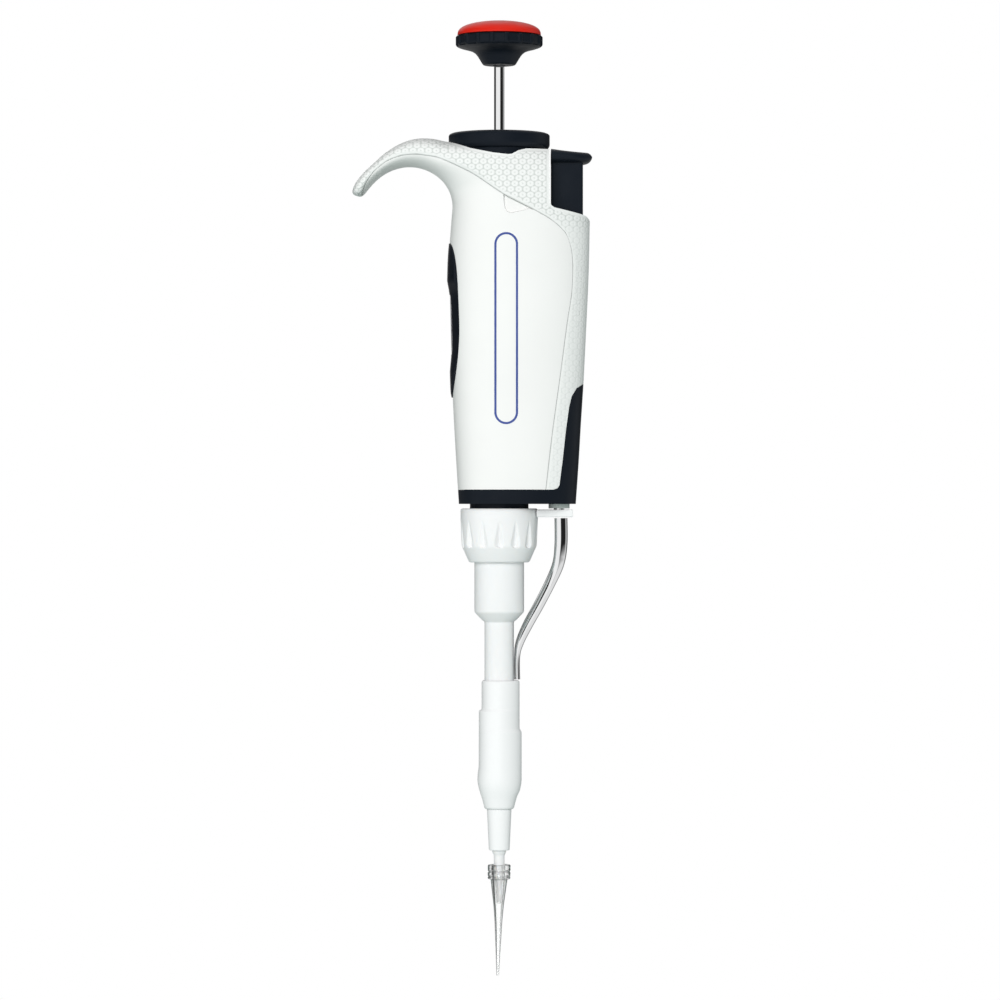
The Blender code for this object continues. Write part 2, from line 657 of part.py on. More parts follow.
# ------------------------------------------------------------------------------------------ ejector
def make_ejector(materials):
    """The ejector's button and pushrod in the handle, and its bracket, arm, sleeve and end tube."""
    button = side_prism(
        "ejector_button",
        [
            (COLUMN_FRONT, 239.3), (24.8, 238.5), (26.3, 237.8), (26.8, 236.9), (26.5, 235.9),
            (25.6, 235.2), (COLUMN_REAR, 235.0), (COLUMN_FRONT, 235.0),
        ],
        8.0,
    )
    column = block(
        "ejector_column",
        (COLUMN_FRONT, COLUMN_REAR),
        (-COLUMN_HALF_WIDTH, COLUMN_HALF_WIDTH),
        (COLUMN_BOTTOM, 236.0),
    )
    stem = block(
        "ejector_stem",
        (COLUMN_FRONT + 0.2, STEM_REAR),
        (-STEM_HALF_WIDTH, STEM_HALF_WIDTH),
        (STEM_BOTTOM, 222.0),
    )
    bore = cylinder("stem_bore", ROD_BORE, 200, 214.3, x=EJECTOR_X, sides=20)
    for guide in (column, stem, bore):
        make_cutter(guide)
    boolean(button, column, "UNION")
    boolean(button, stem, "UNION")
    boolean(button, bore, "DIFFERENCE")
    finish_piece(button, materials["black"])

    rod = turned(
        "ejector_pushrod",
        [(0, 214.0), (ROD_RADIUS, 214.0), (ROD_RADIUS, 133.9), (0, 133.9)],
        16,
        EJECTOR_X,
    )
    finish_piece(rod, materials["steel"])
    bush = turned("ejector_bush", tube_profile(BUSH_RADIUS, ROD_BORE, 138.2, 135.3), 24, EJECTOR_X)
    finish_piece(bush, materials["grey"])
    finish_piece(
        coil("ejector_spring", 2.6, 0.7, SPRING_SEAT + GAP, STEM_BOTTOM - GAP, 7, EJECTOR_X),
        materials["steel"],
    )

    bracket = block("ejector_bracket", (9.8, 21.3), (-4.2, 4.2), (132.8, 135.0))
    pocket = cylinder("bracket_pocket", ROD_BORE, 133.6, 136, x=EJECTOR_X, sides=20)
    nut_space = cylinder("bracket_nut_space", NUT_RADIUS + GAP, 130, 138, sides=72)
    make_cutter(pocket)
    make_cutter(nut_space)
    bevel = bracket.modifiers.new("round", "BEVEL")
    bevel.width = 0.5 * MM
    bevel.segments = 1
    boolean(bracket, pocket, "DIFFERENCE")
    boolean(bracket, nut_space, "DIFFERENCE")
    finish_piece(bracket, materials["nose_white"])

    rings = []
    arm_rows = zip(ARM_CENTRES, ARM_HALF_DEPTHS, ARM_HALF_WIDTHS)
    path = smooth_path([(*centre, depth, width) for centre, depth, width in arm_rows], 25)
    for i, (x, height, depth, width) in enumerate(path):
        before = path[max(i - 1, 0)]
        after = path[min(i + 1, len(path) - 1)]
        along = Vector((after[0] - before[0], after[1] - before[1])).normalized()
        ring = []
        for k in range(12):
            angle = 2 * math.pi * k / 12
            out = depth * math.cos(angle)
            ring.append(place(x - along.y * out, width * math.sin(angle), height + along.x * out))
        rings.append(ring)
    finish_piece(loft("ejector_arm", rings), materials["steel"])

    sleeve_rings = []
    for height, left, right in (
        (85.5, -5.1, 5.9), (77.3, -5.1, 5.9), (76.5, -5.9, 5.9), (71.4, -5.9, 5.9), (70.8, -5.9, 6.5),
        (57.6, -6.3, 6.5), (55.2, -6.2, 6.4), (50.7, -4.9, 4.8), (48.7, -4.3, 4.3),
    ):
        sleeve_rings.append(
            [
                place(
                    (left + right) / 2 + (right - left) / 2 * math.cos(2 * math.pi * k / 28),
                    (right - left) / 2 * math.sin(2 * math.pi * k / 28),
                    height,
                )
                for k in range(28)
            ]
        )
    sleeve = loft("ejector_sleeve", sleeve_rings)
    sleeve_bore = turned(
        "sleeve_bore",
        [
            (0, 90.0), (4.56, 90.0), (4.56, 56.5), (3.9, 55.5), (3.9, 45.0), (0, 45.0),
        ],
        28,
    )
    make_cutter(sleeve_bore)
    boolean(sleeve, sleeve_bore, "DIFFERENCE")
    finish_piece(sleeve, materials["nose_white"])
    tube = turned(
        "ejector_tube",
        [(3.6, 55.2), (3.6, 48.4), (3.0, 36.3), (2.3, 36.3), (2.3, 55.2)],
        28,
    )
    finish_piece(tube, materials["nose_white"])


# -------------------------------------------------------------------------------------------- build
def make_materials():
    """One material for each finish."""
    return {
        "smooth_white": plastic("smooth_white", (0.83, 0.82, 0.79), 0.38),
        "textured_white": plastic("textured_white", (0.78, 0.78, 0.76), 0.55),
        "nose_white": plastic("nose_white", (0.86, 0.87, 0.88), 0.35),
        "seal_white": plastic("seal_white", (0.90, 0.90, 0.90), 0.5),
        "black": plastic("black", (0.012, 0.014, 0.018), 0.35),
        "drum_black": plastic("drum_black", (0.02, 0.02, 0.02), 0.5),
        "grey": plastic("grey", (0.35, 0.36, 0.38), 0.5),
        "red": plastic("red", (0.75, 0.03, 0.01), 0.3),
        "clear": plastic("clear", (0.75, 0.8, 0.82), 0.08),
        "rubber": plastic("rubber", (0.03, 0.03, 0.03), 0.7),
        "steel": plastic("steel", (0.72, 0.73, 0.74), 0.12, 1.0),
        "brass": plastic("brass", (0.78, 0.6, 0.3), 0.3, 1.0),
    }


def build():
    """Clear the scene and make every piece."""
    global COLLECTION, CUTTERS
    for obj in list(bpy.data.objects):
        bpy.data.objects.remove(obj)
    COLLECTION = bpy.data.collections.new("micropipette")
    CUTTERS = bpy.data.collections.new("cutters")
    bpy.context.scene.collection.children.link(COLLECTION)
    bpy.context.scene.collection.children.link(CUTTERS)
    materials = make_materials()
    guides = handle_guides()
    make_handle(guides, materials)
    make_window(guides, materials)
    make_frame(materials)
    make_volume_drive(materials)
    make_plunger(materials)
    make_neck(materials)
    make_nose(materials)
    make_ejector(materials)


build()
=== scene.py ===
"""The looks of an adjustable micropipette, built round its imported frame.

Places are millimetres, with heights measured up from the end of the tip, as on the part's drawing.
The finger hook and the volume window face -X, and the tip ejector faces +X.
"""

import functools
import math

import bmesh
import bpy
import numpy as np
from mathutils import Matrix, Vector
from mathutils.bvhtree import BVHTree


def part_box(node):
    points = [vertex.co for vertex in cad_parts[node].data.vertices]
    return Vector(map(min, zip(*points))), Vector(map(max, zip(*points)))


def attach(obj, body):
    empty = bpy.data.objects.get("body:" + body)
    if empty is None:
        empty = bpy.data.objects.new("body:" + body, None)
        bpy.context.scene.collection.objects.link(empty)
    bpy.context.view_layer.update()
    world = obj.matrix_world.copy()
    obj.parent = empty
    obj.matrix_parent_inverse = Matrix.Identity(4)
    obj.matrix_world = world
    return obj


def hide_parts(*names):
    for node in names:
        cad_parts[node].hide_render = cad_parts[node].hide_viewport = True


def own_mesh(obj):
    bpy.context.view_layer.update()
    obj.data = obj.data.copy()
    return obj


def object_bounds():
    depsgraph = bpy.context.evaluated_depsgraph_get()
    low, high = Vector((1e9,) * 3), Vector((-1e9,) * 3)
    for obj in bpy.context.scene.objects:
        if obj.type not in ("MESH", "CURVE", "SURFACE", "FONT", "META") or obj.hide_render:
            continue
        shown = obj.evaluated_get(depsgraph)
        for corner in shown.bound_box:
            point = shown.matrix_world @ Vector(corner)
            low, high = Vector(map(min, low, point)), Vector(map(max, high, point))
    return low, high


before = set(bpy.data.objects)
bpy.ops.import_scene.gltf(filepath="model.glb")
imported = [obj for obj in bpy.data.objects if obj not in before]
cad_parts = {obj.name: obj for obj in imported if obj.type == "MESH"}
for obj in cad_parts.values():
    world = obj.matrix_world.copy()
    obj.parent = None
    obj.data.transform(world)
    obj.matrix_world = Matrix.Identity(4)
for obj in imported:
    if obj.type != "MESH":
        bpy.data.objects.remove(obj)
CAD_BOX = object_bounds()
MM = 0.001
TIP_END = CAD_BOX[0][2]  # metres, the lowest point of the frame
TAU = 2 * math.pi
UP = Vector((0, 0, 1))


# ---------------- small helpers
def place(x, y, height):
    """A point in metres from millimetres, its height above the tip's end."""
    return Vector((x * MM, y * MM, height * MM + TIP_END))


def new_object(name, data):
    """An object for a mesh, text, lamp or camera, in the scene."""
    obj = bpy.data.objects.new(name, data)
    bpy.context.scene.collection.objects.link(obj)
    return obj


def mesh_of(bm, name, sharp_angle=35):
    """A mesh from a bmesh, shaded smooth but for its hard edges."""
    bmesh.ops.recalc_face_normals(bm, faces=bm.faces)
    mesh = bpy.data.meshes.new(name)
    bm.to_mesh(mesh)
    bm.free()
    mesh.shade_smooth()
    mesh.set_sharp_from_angle(angle=math.radians(sharp_angle))
    return mesh


def finished(obj, material, body, *nodes):
    """A finished piece: its material, the body it rides on and the nodes that it stands for."""
    obj.data.materials.clear()
    obj.data.materials.append(material)
    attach(obj, body)
    if nodes:
        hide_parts(*nodes)
    return obj


def baked(obj, sharp_angle=35):
    """The object with its modifiers made part of its mesh."""
    graph = bpy.context.evaluated_depsgraph_get()
    mesh = bpy.data.meshes.new_from_object(obj.evaluated_get(graph))
    obj.modifiers.clear()
    obj.data = mesh
    mesh.shade_smooth()
    mesh.set_sharp_from_angle(angle=math.radians(sharp_angle))
    return obj


def carve(obj, cutter, operation="DIFFERENCE"):
    """Cut, keep or join with another body."""
    modifier = obj.modifiers.new(operation.lower(), "BOOLEAN")
    modifier.operation = operation
    modifier.object = cutter
    modifier.solver = "EXACT"


def discard(*objects):
    """Remove guide bodies that have done their work."""
    for obj in objects:
        bpy.data.objects.remove(obj)


def rounded(profile, size=0.25, steps=4):
    """A turned profile with every corner eased by a short curve."""
    closed = profile[0][0] > 0
    count = len(profile)
    points = []
    for i, corner in enumerate(profile):
        if not closed and i in (0, count - 1):
            points.append(corner)
            continue
        here = Vector(corner)
        before = Vector(profile[i - 1]) - here
        after = Vector(profile[(i + 1) % count]) - here
        reach = min(size, 0.45 * before.length, 0.45 * after.length)
        start = here + before.normalized() * reach
        end = here + after.normalized() * reach
        for k in range(steps + 1):
            u = k / steps
            points.append(tuple((1 - u) ** 2 * start + 2 * u * (1 - u) * here + u**2 * end))
    return points


def lathe(name, profile, sides=96, shape=None, axis_x=0.0, sharp_angle=50):
    """A turned body from (radius, height) points; shape(radius, height, angle) may change the radius."""
    bm = bmesh.new()
    rows = []
    for radius, height in profile:
        if radius == 0:
            rows.append([bm.verts.new(place(axis_x, 0, height))])
            continue
        row = []
        for i in range(sides):
            angle = TAU * i / sides
            r = shape(radius, height, angle) if shape else radius
            row.append(bm.verts.new(place(axis_x + r * math.cos(angle), r * math.sin(angle), height)))
        rows.append(row)
    pairs = list(zip(rows, rows[1:]))
    if profile[0][0] > 0:
        pairs.append((rows[-1], rows[0]))
    for upper, lower in pairs:
        for i in range(sides):
            j = (i + 1) % sides
            if len(upper) == 1:
                bm.faces.new((upper[0], lower[i], lower[j]))
            elif len(lower) == 1:
                bm.faces.new((upper[i], lower[0], upper[j]))
            else:
                bm.faces.new((upper[i], lower[i], lower[j], upper[j]))
    return new_object(name, mesh_of(bm, name, sharp_angle))


def loft(name, rings, sharp_angle=35):
    """A closed body through rings of equal point counts."""
    bm = bmesh.new()
    rows = [[bm.verts.new(point) for point in ring] for ring in rings]
    for low, high in zip(rows, rows[1:]):
        for i in range(len(low)):
            j = (i + 1) % len(low)
            bm.faces.new((low[i], low[j], high[j], high[i]))
    bm.faces.new(rows[0])
    bm.faces.new(rows[-1])
    return new_object(name, mesh_of(bm, name, sharp_angle))


def extruded(name, corners, direction):
    """A flat outline pushed along a direction."""
    bm = bmesh.new()
    face = bm.faces.new([bm.verts.new(corner) for corner in corners])
    moved = bmesh.ops.extrude_face_region(bm, geom=[face])["geom"]
    verts = [item for item in moved if isinstance(item, bmesh.types.BMVert)]
    bmesh.ops.translate(bm, verts=verts, vec=direction)
    return new_object(name, mesh_of(bm, name))


def side_prism(name, outline, y_range=(-40.0, 40.0)):
    """An outline seen from the side, (x, height), made into a body across the width."""
    corners = [place(x, y_range[0], height) for x, height in outline]
    return extruded(name, corners, Vector((0, (y_range[1] - y_range[0]) * MM, 0)))


def block(name, x_range, y_range, heights):
    """A plain block, used as a guide or as the start of a rounded piece."""
    (back, front), (low, high) = x_range, heights
    return side_prism(name, [(back, low), (front, low), (front, high), (back, high)], y_range)


def superellipse(angle, power):
    """The two unit coordinates of a superellipse at an angle."""
    parts = math.cos(angle), math.sin(angle)
    return [math.copysign(abs(part) ** (2 / power), part) for part in parts]


def smooth_rows(points, steps):
    """Rows on a Catmull-Rom curve through rows of numbers, with some steps between each two."""
    table = np.array([points[0], *points, points[-1]], dtype=float)
    rows = []
    for k in range(len(points) - 1):
        a, b, c, d = table[k : k + 4]
        for step in range(steps):
            u = step / steps
            square, cube = 2 * a - 5 * b + 4 * c - d, 3 * b - a - 3 * c + d
            rows.append(0.5 * (2 * b + (c - a) * u + square * u**2 + cube * u**3))
    rows.append(table[-2])
    return rows


def shifted_line(line, distance):
    """A polyline moved to its left as it runs."""
    moved = []
    for i, point in enumerate(line):
        before = Vector(line[max(i - 1, 0)])
        after = Vector(line[min(i + 1, len(line) - 1)])
        along = (after - before).normalized()
        moved.append((point[0] - along.y * distance, point[1] + along.x * distance))
    return moved


# ---------------- the handle's lines
HOOK_X = -26.0  # the middle of the hook's arc, from which every section is measured
GRIP_TOP = 221.5
# Sections from the hook's end round its arc to the grip: (angle, nearest reach, farthest reach, half
# width, superellipse power), and then down the grip, with the height in place of the angle
HOOK_SECTIONS = [
    (163.5, 15.4, 16.6, 2.6, 2.1), (163.0, 14.7, 17.15, 4.8, 2.2), (160.5, 14.1, 17.5, 6.3, 2.3),
    (154.0, 13.6, 17.55, 7.3, 2.4), (142.0, 13.2, 17.2, 8.2, 2.5), (127.0, 13.0, 17.1, 9.0, 2.6),
    (110.0, 12.9, 18.2, 10.2, 2.6), (97.0, 12.9, 19.5, 11.3, 2.6), (84.0, 12.9, 20.8, 12.3, 2.6),
    (72.0, 12.9, 21.7, 13.2, 2.6), (60.0, 12.9, 22.8, 14.0, 2.6), (50.0, 12.9, 26.0, 14.5, 2.5),
    (40.0, 12.9, 32.0, 14.8, 2.45), (30.0, 12.85, 41.0, 15.0, 2.4), (20.0, 12.75, 49.0, 15.0, 2.3),
    (10.0, 12.6, 52.2, 15.0, 2.3), (0.0, 12.4, 52.3, 15.0, 2.3),
]
GRIP_SECTIONS = [
    (216.0, 11.95, 52.2, 14.9, 2.3), (210.0, 11.6, 52.1, 14.8, 2.3), (200.0, 11.65, 51.8, 14.5, 2.3),
    (185.0, 12.0, 51.1, 14.0, 2.3), (171.0, 12.4, 50.4, 13.4, 2.3), (160.0, 12.9, 49.7, 13.0, 2.3),
    (148.0, 13.6, 49.0, 12.6, 2.3), (136.6, 14.3, 48.2, 12.2, 2.3),
]
HANDLE_SECTIONS = [(angle, GRIP_TOP, *size) for angle, *size in HOOK_SECTIONS]
HANDLE_SECTIONS += [(0.0, height, *size) for height, *size in GRIP_SECTIONS]
# The line between the front and rear shells, (x, height), from the hook's end to the foot
SEAM = [
    (-45.0, 216.0), (-39.8, 225.4), (-39.1, 227.5), (-38.0, 229.7), (-36.2, 232.1), (-34.0, 234.0),
    (-31.8, 235.4), (-28.3, 236.6), (-23.9, 236.9), (-18.1, 236.0), (-14.5, 234.6), (-8.4, 231.7),
    (-5.5, 229.9), (1.1, 225.4), (9.0, 221.4), (14.3, 218.5), (17.2, 216.3), (19.3, 214.0),
    (20.6, 210.3), (21.1, 205.3), (20.8, 197.3), (19.4, 188.2), (17.4, 173.1), (15.2, 157.1),
    (13.4, 141.5), (12.4, 130.0),
]
TOP_SEAM = SEAM[:19]  # over the hook and the grip, with x rising
BACK_SEAM = [(height, x) for x, height in SEAM[:16:-1]]  # down the grip's side, with the height rising
# The handle's top edge, past the ring and the ejector's column
TOP_LINE = [
    (-15.1, 241.2), (-8.3, 238.7), (-2.0, 237.4), (2.4, 236.9), (3.6, 237.0), (5.6, 238.1), (7.6, 238.65),
    (9.0, 238.7), (14.4, 238.7), (14.4, 224.0), (14.55, 223.0), (15.1, 222.2), (15.9, 221.7),
    (24.0, 220.0), (25.2, 219.6), (26.0, 218.8), (26.6, 217.6), (40.0, 216.5),
]
# The base cover's upper edge
BASE_LINE = [
    (-40.0, 140.7), (15.6, 140.7), (16.8, 141.1), (17.4, 142.0), (17.6, 143.6), (18.3, 149.0),
    (19.3, 158.1), (20.2, 164.6), (21.0, 167.8), (22.3, 169.9), (24.4, 171.3), (40.0, 172.0),
]
BEZEL_POWERS = (4.0, 2.0)
LENS_POWERS = (5.0, 5.0)
GAP = 0.06  # drawn between the shells
# The thumbnail notch under the seam: its outline, how deep it goes and how far its walls lean out
NOTCH = [
    (1.2, 230.0), (1.25, 223.6), (1.5, 221.6), (2.1, 220.4), (3.1, 219.9), (5.2, 220.2), (8.3, 221.1),
    (11.0, 222.2), (11.0, 230.0),
]
NOTCH_DEPTH = 0.8
NOTCH_LEAN = 0.3
CATCH = [(7.6, 221.6), (7.9, 222.6), (9.9, 221.7), (9.6, 220.9)]
NOTCH_EAVES = 224.5  # the notch's depth is measured no higher than this, under the seam
WALL = 1.8
EGG = 0.12  # how much narrower the grip is at its back than at its middle
RING_RADIUS = 14.65
RING_FOOT = 238.8
HUB_RADIUS = 13.0
HUB_FLOOR = 230.1
HUB_GAP = 0.4
COLUMN_WALL = 14.4  # the grip's upright face in front of the ejector's column
COLUMN_FOOT = 222.6
EJECTOR_X = 17.35
WINDOW_CUT = (-22.0, -7.0)  # from before the grip's front into its hollow
BEZEL_CENTRE = 189.7
BEZEL_HALF = (22.3, 8.9)  # half its length and half its width
LENS_CENTRE = 188.5
LENS_HALF = (8.6, 4.6)
LENS_GAP = 0.15
BEYOND = 40.0  # a place clear of the handle on either side


# ---------------- materials
def rgba(colour):
    """A colour or a grey level with its alpha."""
    return (*colour, 1.0) if isinstance(colour, tuple) else (colour, colour, colour, 1.0)


def feed(links, socket, value):
    """Set a socket to a number or colour, or link it to an output."""
    if isinstance(value, bpy.types.NodeSocket):
        links.new(value, socket)
    else:
        socket.default_value = rgba(value) if isinstance(value, tuple) else value


class Graph:
    """A short way to write a material's nodes."""

    def __init__(self, name):
        self.material = bpy.data.materials.new(name)
        self.material.use_nodes = True
        self.nodes = self.material.node_tree.nodes
        self.links = self.material.node_tree.links
        self.shader = self.nodes["Principled BSDF"]
        self.coordinates = self.nodes.new("ShaderNodeTexCoord").outputs
        self.point = self.coordinates["Object"]

    def set(self, name, value):
        """Set one of the shader's inputs to a number or colour, or link it to an output."""
        feed(self.links, self.shader.inputs[name], value)

    def math(self, operation, a, b=0.0, c=0.0):
        """The result of a Math node."""
        node = self.nodes.new("ShaderNodeMath")
        node.operation = operation
        for socket, value in zip(node.inputs, (a, b, c)):
            feed(self.links, socket, value)
        return node.outputs[0]

    def split(self, vector):
        """The three parts of a vector."""
        node = self.nodes.new("ShaderNodeSeparateXYZ")
        self.links.new(vector, node.inputs[0])
        return node.outputs

    def noise(self, scale, detail, stretch=(1.0, 1.0, 1.0)):
        """A noise value from 0 to 1, with its features about 1/scale metres across."""
        mapping = self.nodes.new("ShaderNodeMapping")
        mapping.inputs["Scale"].default_value = stretch
        self.links.new(self.point, mapping.inputs["Vector"])
        node = self.nodes.new("ShaderNodeTexNoise")
        node.inputs["Scale"].default_value = scale
        node.inputs["Detail"].default_value = detail
        self.links.new(mapping.outputs["Vector"], node.inputs["Vector"])
        return node.outputs["Fac"]

    def span(self, value, start, end, low=0.0, high=1.0):
        """A value eased from one number to another between two limits."""
        node = self.nodes.new("ShaderNodeMapRange")
        node.interpolation_type = "SMOOTHSTEP"
        for name, number in (("From Min", start), ("From Max", end), ("To Min", low), ("To Max", high)):
            node.inputs[name].default_value = number
        self.links.new(value, node.inputs["Value"])
        return node.outputs["Result"]

    def curve(self, value, points):
        """A value looked up along a line of (input, output) points, the inputs rising."""
        first, last = points[0][0], points[-1][0]
        low, high = min(point[1] for point in points), max(point[1] for point in points)
        node = self.nodes.new("ShaderNodeFloatCurve")
        line = node.mapping.curves[0]
        places = [((at - first) / (last - first), (result - low) / (high - low)) for at, result in points]
        line.points[0].location = places[0]
        line.points[1].location = places[-1]
        for spot in places[1:-1]:
            line.points.new(*spot)
        for point in line.points:
            point.handle_type = "VECTOR"
        node.mapping.update()
        share = self.math("MULTIPLY_ADD", value, 1 / (last - first), -first / (last - first))
        self.links.new(share, node.inputs["Value"])
        return self.math("MULTIPLY_ADD", node.outputs["Value"], high - low, low)

    def ramp(self, factor, low, high, start=0.3, end=0.7):
        """A colour or a grey between two ends of a factor."""
        node = self.nodes.new("ShaderNodeValToRGB")
        for element, colour, position in zip(node.color_ramp.elements, (low, high), (start, end)):
            element.color = rgba(colour)
            element.position = position
        self.links.new(factor, node.inputs["Fac"])
        return node.outputs["Color"]

    def bump(self, height, distance, strength, edge=0.0):
        """Relief of a depth in metres, over edges rounded by a radius in metres."""
        node = self.nodes.new("ShaderNodeBump")
        node.inputs["Distance"].default_value = distance
        node.inputs["Strength"].default_value = strength
        self.links.new(height, node.inputs["Height"])
        if edge:
            bevel = self.nodes.new("ShaderNodeBevel")
            bevel.samples = 6
            bevel.inputs["Radius"].default_value = edge
            self.links.new(bevel.outputs["Normal"], node.inputs["Normal"])
        self.links.new(node.outputs["Normal"], self.shader.inputs["Normal"])


def moulded(name, dark, light, rough, edge=0.0, grain=0.000006, grain_scale=1400, soft=0.0, shine=0.5):
    """Moulded plastic: slight tone drift, a fine grain and a roughness that varies with it."""
    graph = Graph(name)
    graph.set("Base Color", graph.ramp(graph.noise(55, 4), dark, light))
    graph.set("Roughness", graph.ramp(graph.noise(320, 5), rough - 0.05, rough + 0.05))
    graph.bump(graph.noise(grain_scale, 2), grain, 0.5, edge)
    graph.set("Specular IOR Level", shine)
    if soft:
        graph.set("Subsurface Weight", soft)
        graph.shader.inputs["Subsurface Radius"].default_value = (0.0012, 0.0011, 0.001)
        graph.set("Subsurface Scale", 1.0)
    return graph.material


CELL_WIDTH = 2.25 * MM
CELL_ROWS = 3.2 * MM  # two rows of cells
CELL_DEPTH = 0.16 * MM
FACING_LIMIT = 0.72  # past this, a face takes its cells from above or from behind and not from the side


def hex_cells(graph, across, along):
    """Height from 0 to 1 of round cells in offset rows, from two plane coordinates in metres."""
    distances = []
    for shift in (0.0, 0.5):
        parts = []
        for value, pitch, width in ((across, CELL_WIDTH, 1.0), (along, CELL_ROWS, 1.6)):
            turns = graph.math("MULTIPLY_ADD", value, 1 / pitch, shift + 100)
            offset = graph.math("SUBTRACT", graph.math("FRACT", turns), 0.5)
            parts.append(graph.math("POWER", graph.math("MULTIPLY", offset, width), 2.0))
        distances.append(graph.math("SQRT", graph.math("ADD", *parts)))
    nearest = graph.math("MINIMUM", *distances)
    dome = graph.span(nearest, 0.56, 0.32)
    dimple = graph.span(nearest, 0.20, 0.04, 0.0, 0.6)
    return graph.math("SUBTRACT", dome, dimple)


def textured_grip():
    """The rear shell's raised cells, laid on from the side, from above and from behind, with painted
    shade in the grooves and dimples between them and along the seam.
    """
    graph = Graph("textured_grip_plastic")
    multiply = functools.partial(graph.math, "MULTIPLY")
    subtract = functools.partial(graph.math, "SUBTRACT")
    x, y, z = graph.split(graph.point)
    facing = graph.split(graph.coordinates["Normal"])
    cells = hex_cells(graph, x, z)
    for axis, other in (("Z", hex_cells(graph, x, y)), ("X", hex_cells(graph, y, z))):
        choice = graph.math("GREATER_THAN", graph.math("ABSOLUTE", facing[axis]), FACING_LIMIT)
        mix = graph.nodes.new("ShaderNodeMix")
        graph.links.new(choice, mix.inputs["Factor"])
        graph.links.new(cells, mix.inputs["A"])
        graph.links.new(other, mix.inputs["B"])
        cells = mix.outputs["Result"]
    # the cells fade to a fine print down the back of the grip, and stop short of the shell's edges
    across = multiply(x, 1 / MM)
    height = graph.math("MULTIPLY_ADD", z, 1 / MM, -TIP_END / MM)
    from_top_seam = subtract(height, graph.curve(across, TOP_SEAM))
    from_back_seam = subtract(across, graph.curve(height, BACK_SEAM))
    from_seam = graph.math("MAXIMUM", multiply(from_top_seam, 0.85), from_back_seam)
    top = [(-50.0, 262.0), (-15.2, 262.0), *TOP_LINE[:9], (COLUMN_WALL + 0.1, 224.0), *TOP_LINE[10:]]
    from_top = subtract(graph.curve(across, top), height)
    beside = graph.math("ABSOLUTE", subtract(across, COLUMN_WALL))
    below = graph.math("MAXIMUM", subtract(COLUMN_FOOT, height), 0.0)
    from_column = graph.math("ADD", beside, below)
    edge = graph.math("MINIMUM", graph.math("MINIMUM", from_seam, from_top), from_column)
    strength = multiply(graph.span(height, 213.0, 221.0, 0.45, 1.0), graph.span(edge, 0.5, 1.0))
    strength = multiply(strength, graph.span(across, -49.0, -42.0, 0.35, 1.0))
    groove = multiply(subtract(1.0, cells), strength)
    rounding = graph.span(from_seam, 0.0, 0.55)
    # painted shade: the colour darkens in the grooves between the cells and in their dimples, where shade
    # falls
    painted_groove_shade = graph.ramp(groove, (0.83, 0.83, 0.82), (0.58, 0.60, 0.58), 0.15, 1.0)
    # painted shade: the colour darkens along the seam, over the edge that the bump rounds there
    line = graph.ramp(rounding, (0.62, 0.64, 0.63), (1.0, 1.0, 1.0), 0.0, 0.8)
    blend = graph.nodes.new("ShaderNodeMix")
    blend.data_type = "RGBA"
    blend.blend_type = "MULTIPLY"
    blend.inputs["Factor"].default_value = 1.0
    graph.links.new(painted_groove_shade, blend.inputs[6])
    graph.links.new(line, blend.inputs[7])
    graph.set("Base Color", blend.outputs[2])
    graph.set("Roughness", graph.ramp(graph.noise(400, 4), 0.42, 0.55))
    relief = graph.math("ADD", multiply(cells, strength), multiply(rounding, 1.5))
    graph.bump(relief, CELL_DEPTH, 0.8)
    return graph.material


def metal(name, colour, rough, stretch=(1, 1, 1)):
    """Polished or drawn metal, with faint lines along the way that it was drawn."""
    graph = Graph(name)
    lines = graph.noise(900, 4, stretch)
    graph.set("Base Color", graph.ramp(lines, tuple(0.94 * channel for channel in colour), colour))
    graph.set("Metallic", 1.0)
    graph.set("Roughness", graph.ramp(graph.noise(260, 3), rough * 0.8, rough * 1.25))
    graph.bump(lines, 0.000002, 0.25)
    return graph.material


def clear_plastic(name, clear, edge, rough):
    """Clear moulded plastic, with painted shade that darkens its colour where it is seen edge-on."""
    graph = Graph(name)
    weight = graph.nodes.new("ShaderNodeLayerWeight")
    weight.inputs["Blend"].default_value = 0.5
    # painted shade: the second colour darkens the part where it is seen edge-on
    graph.set("Base Color", graph.ramp(weight.outputs["Facing"], clear, edge, 0.16, 0.55))
    graph.set("Transmission Weight", 1.0)
    graph.set("IOR", 1.49)
    graph.set("Roughness", graph.ramp(graph.noise(300, 3), rough, rough + 0.03))
    return graph.material


SHELL_WHITE = moulded("shell_white", (0.83, 0.82, 0.81), (0.85, 0.84, 0.83), 0.40)
GRIP_WHITE = textured_grip()
NOSE_WHITE = moulded(
    "nose_white", (0.835, 0.83, 0.835), (0.85, 0.845, 0.85), 0.38, edge=0.0002, soft=0.3
)
BRIGHT_WHITE = moulded("bright_white", (0.86, 0.855, 0.86), (0.875, 0.87, 0.875), 0.42, edge=0.0003)
CHARCOAL = moulded(
    "charcoal", (0.005, 0.0075, 0.012), (0.007, 0.010, 0.015), 0.40, 0.0003, 0.00001, 1800, shine=0.13
)
WINDOW_BLACK = moulded(
    "window_black", (0.004, 0.006, 0.010), (0.006, 0.008, 0.012), 0.32, 0.0003, shine=0.14
)
CAP_RED = moulded("cap_red", (0.60, 0.012, 0.004), (0.64, 0.014, 0.005), 0.38, soft=0.05, shine=0.35)
BLUE_INK = moulded("blue_ink", (0.045, 0.075, 0.27), (0.055, 0.085, 0.30), 0.5)
BUSH_GREY = moulded("bush_grey", (0.52, 0.58, 0.56), (0.56, 0.62, 0.60), 0.45)
FITTING_GREY = moulded("fitting_grey", (0.30, 0.31, 0.33), (0.36, 0.37, 0.39), 0.45)
SEAL_WHITE = moulded("seal_white", (0.82, 0.82, 0.82), (0.88, 0.88, 0.88), 0.5)
DRUM_BLACK = moulded("drum_black", (0.016, 0.016, 0.017), (0.024, 0.024, 0.026), 0.5)
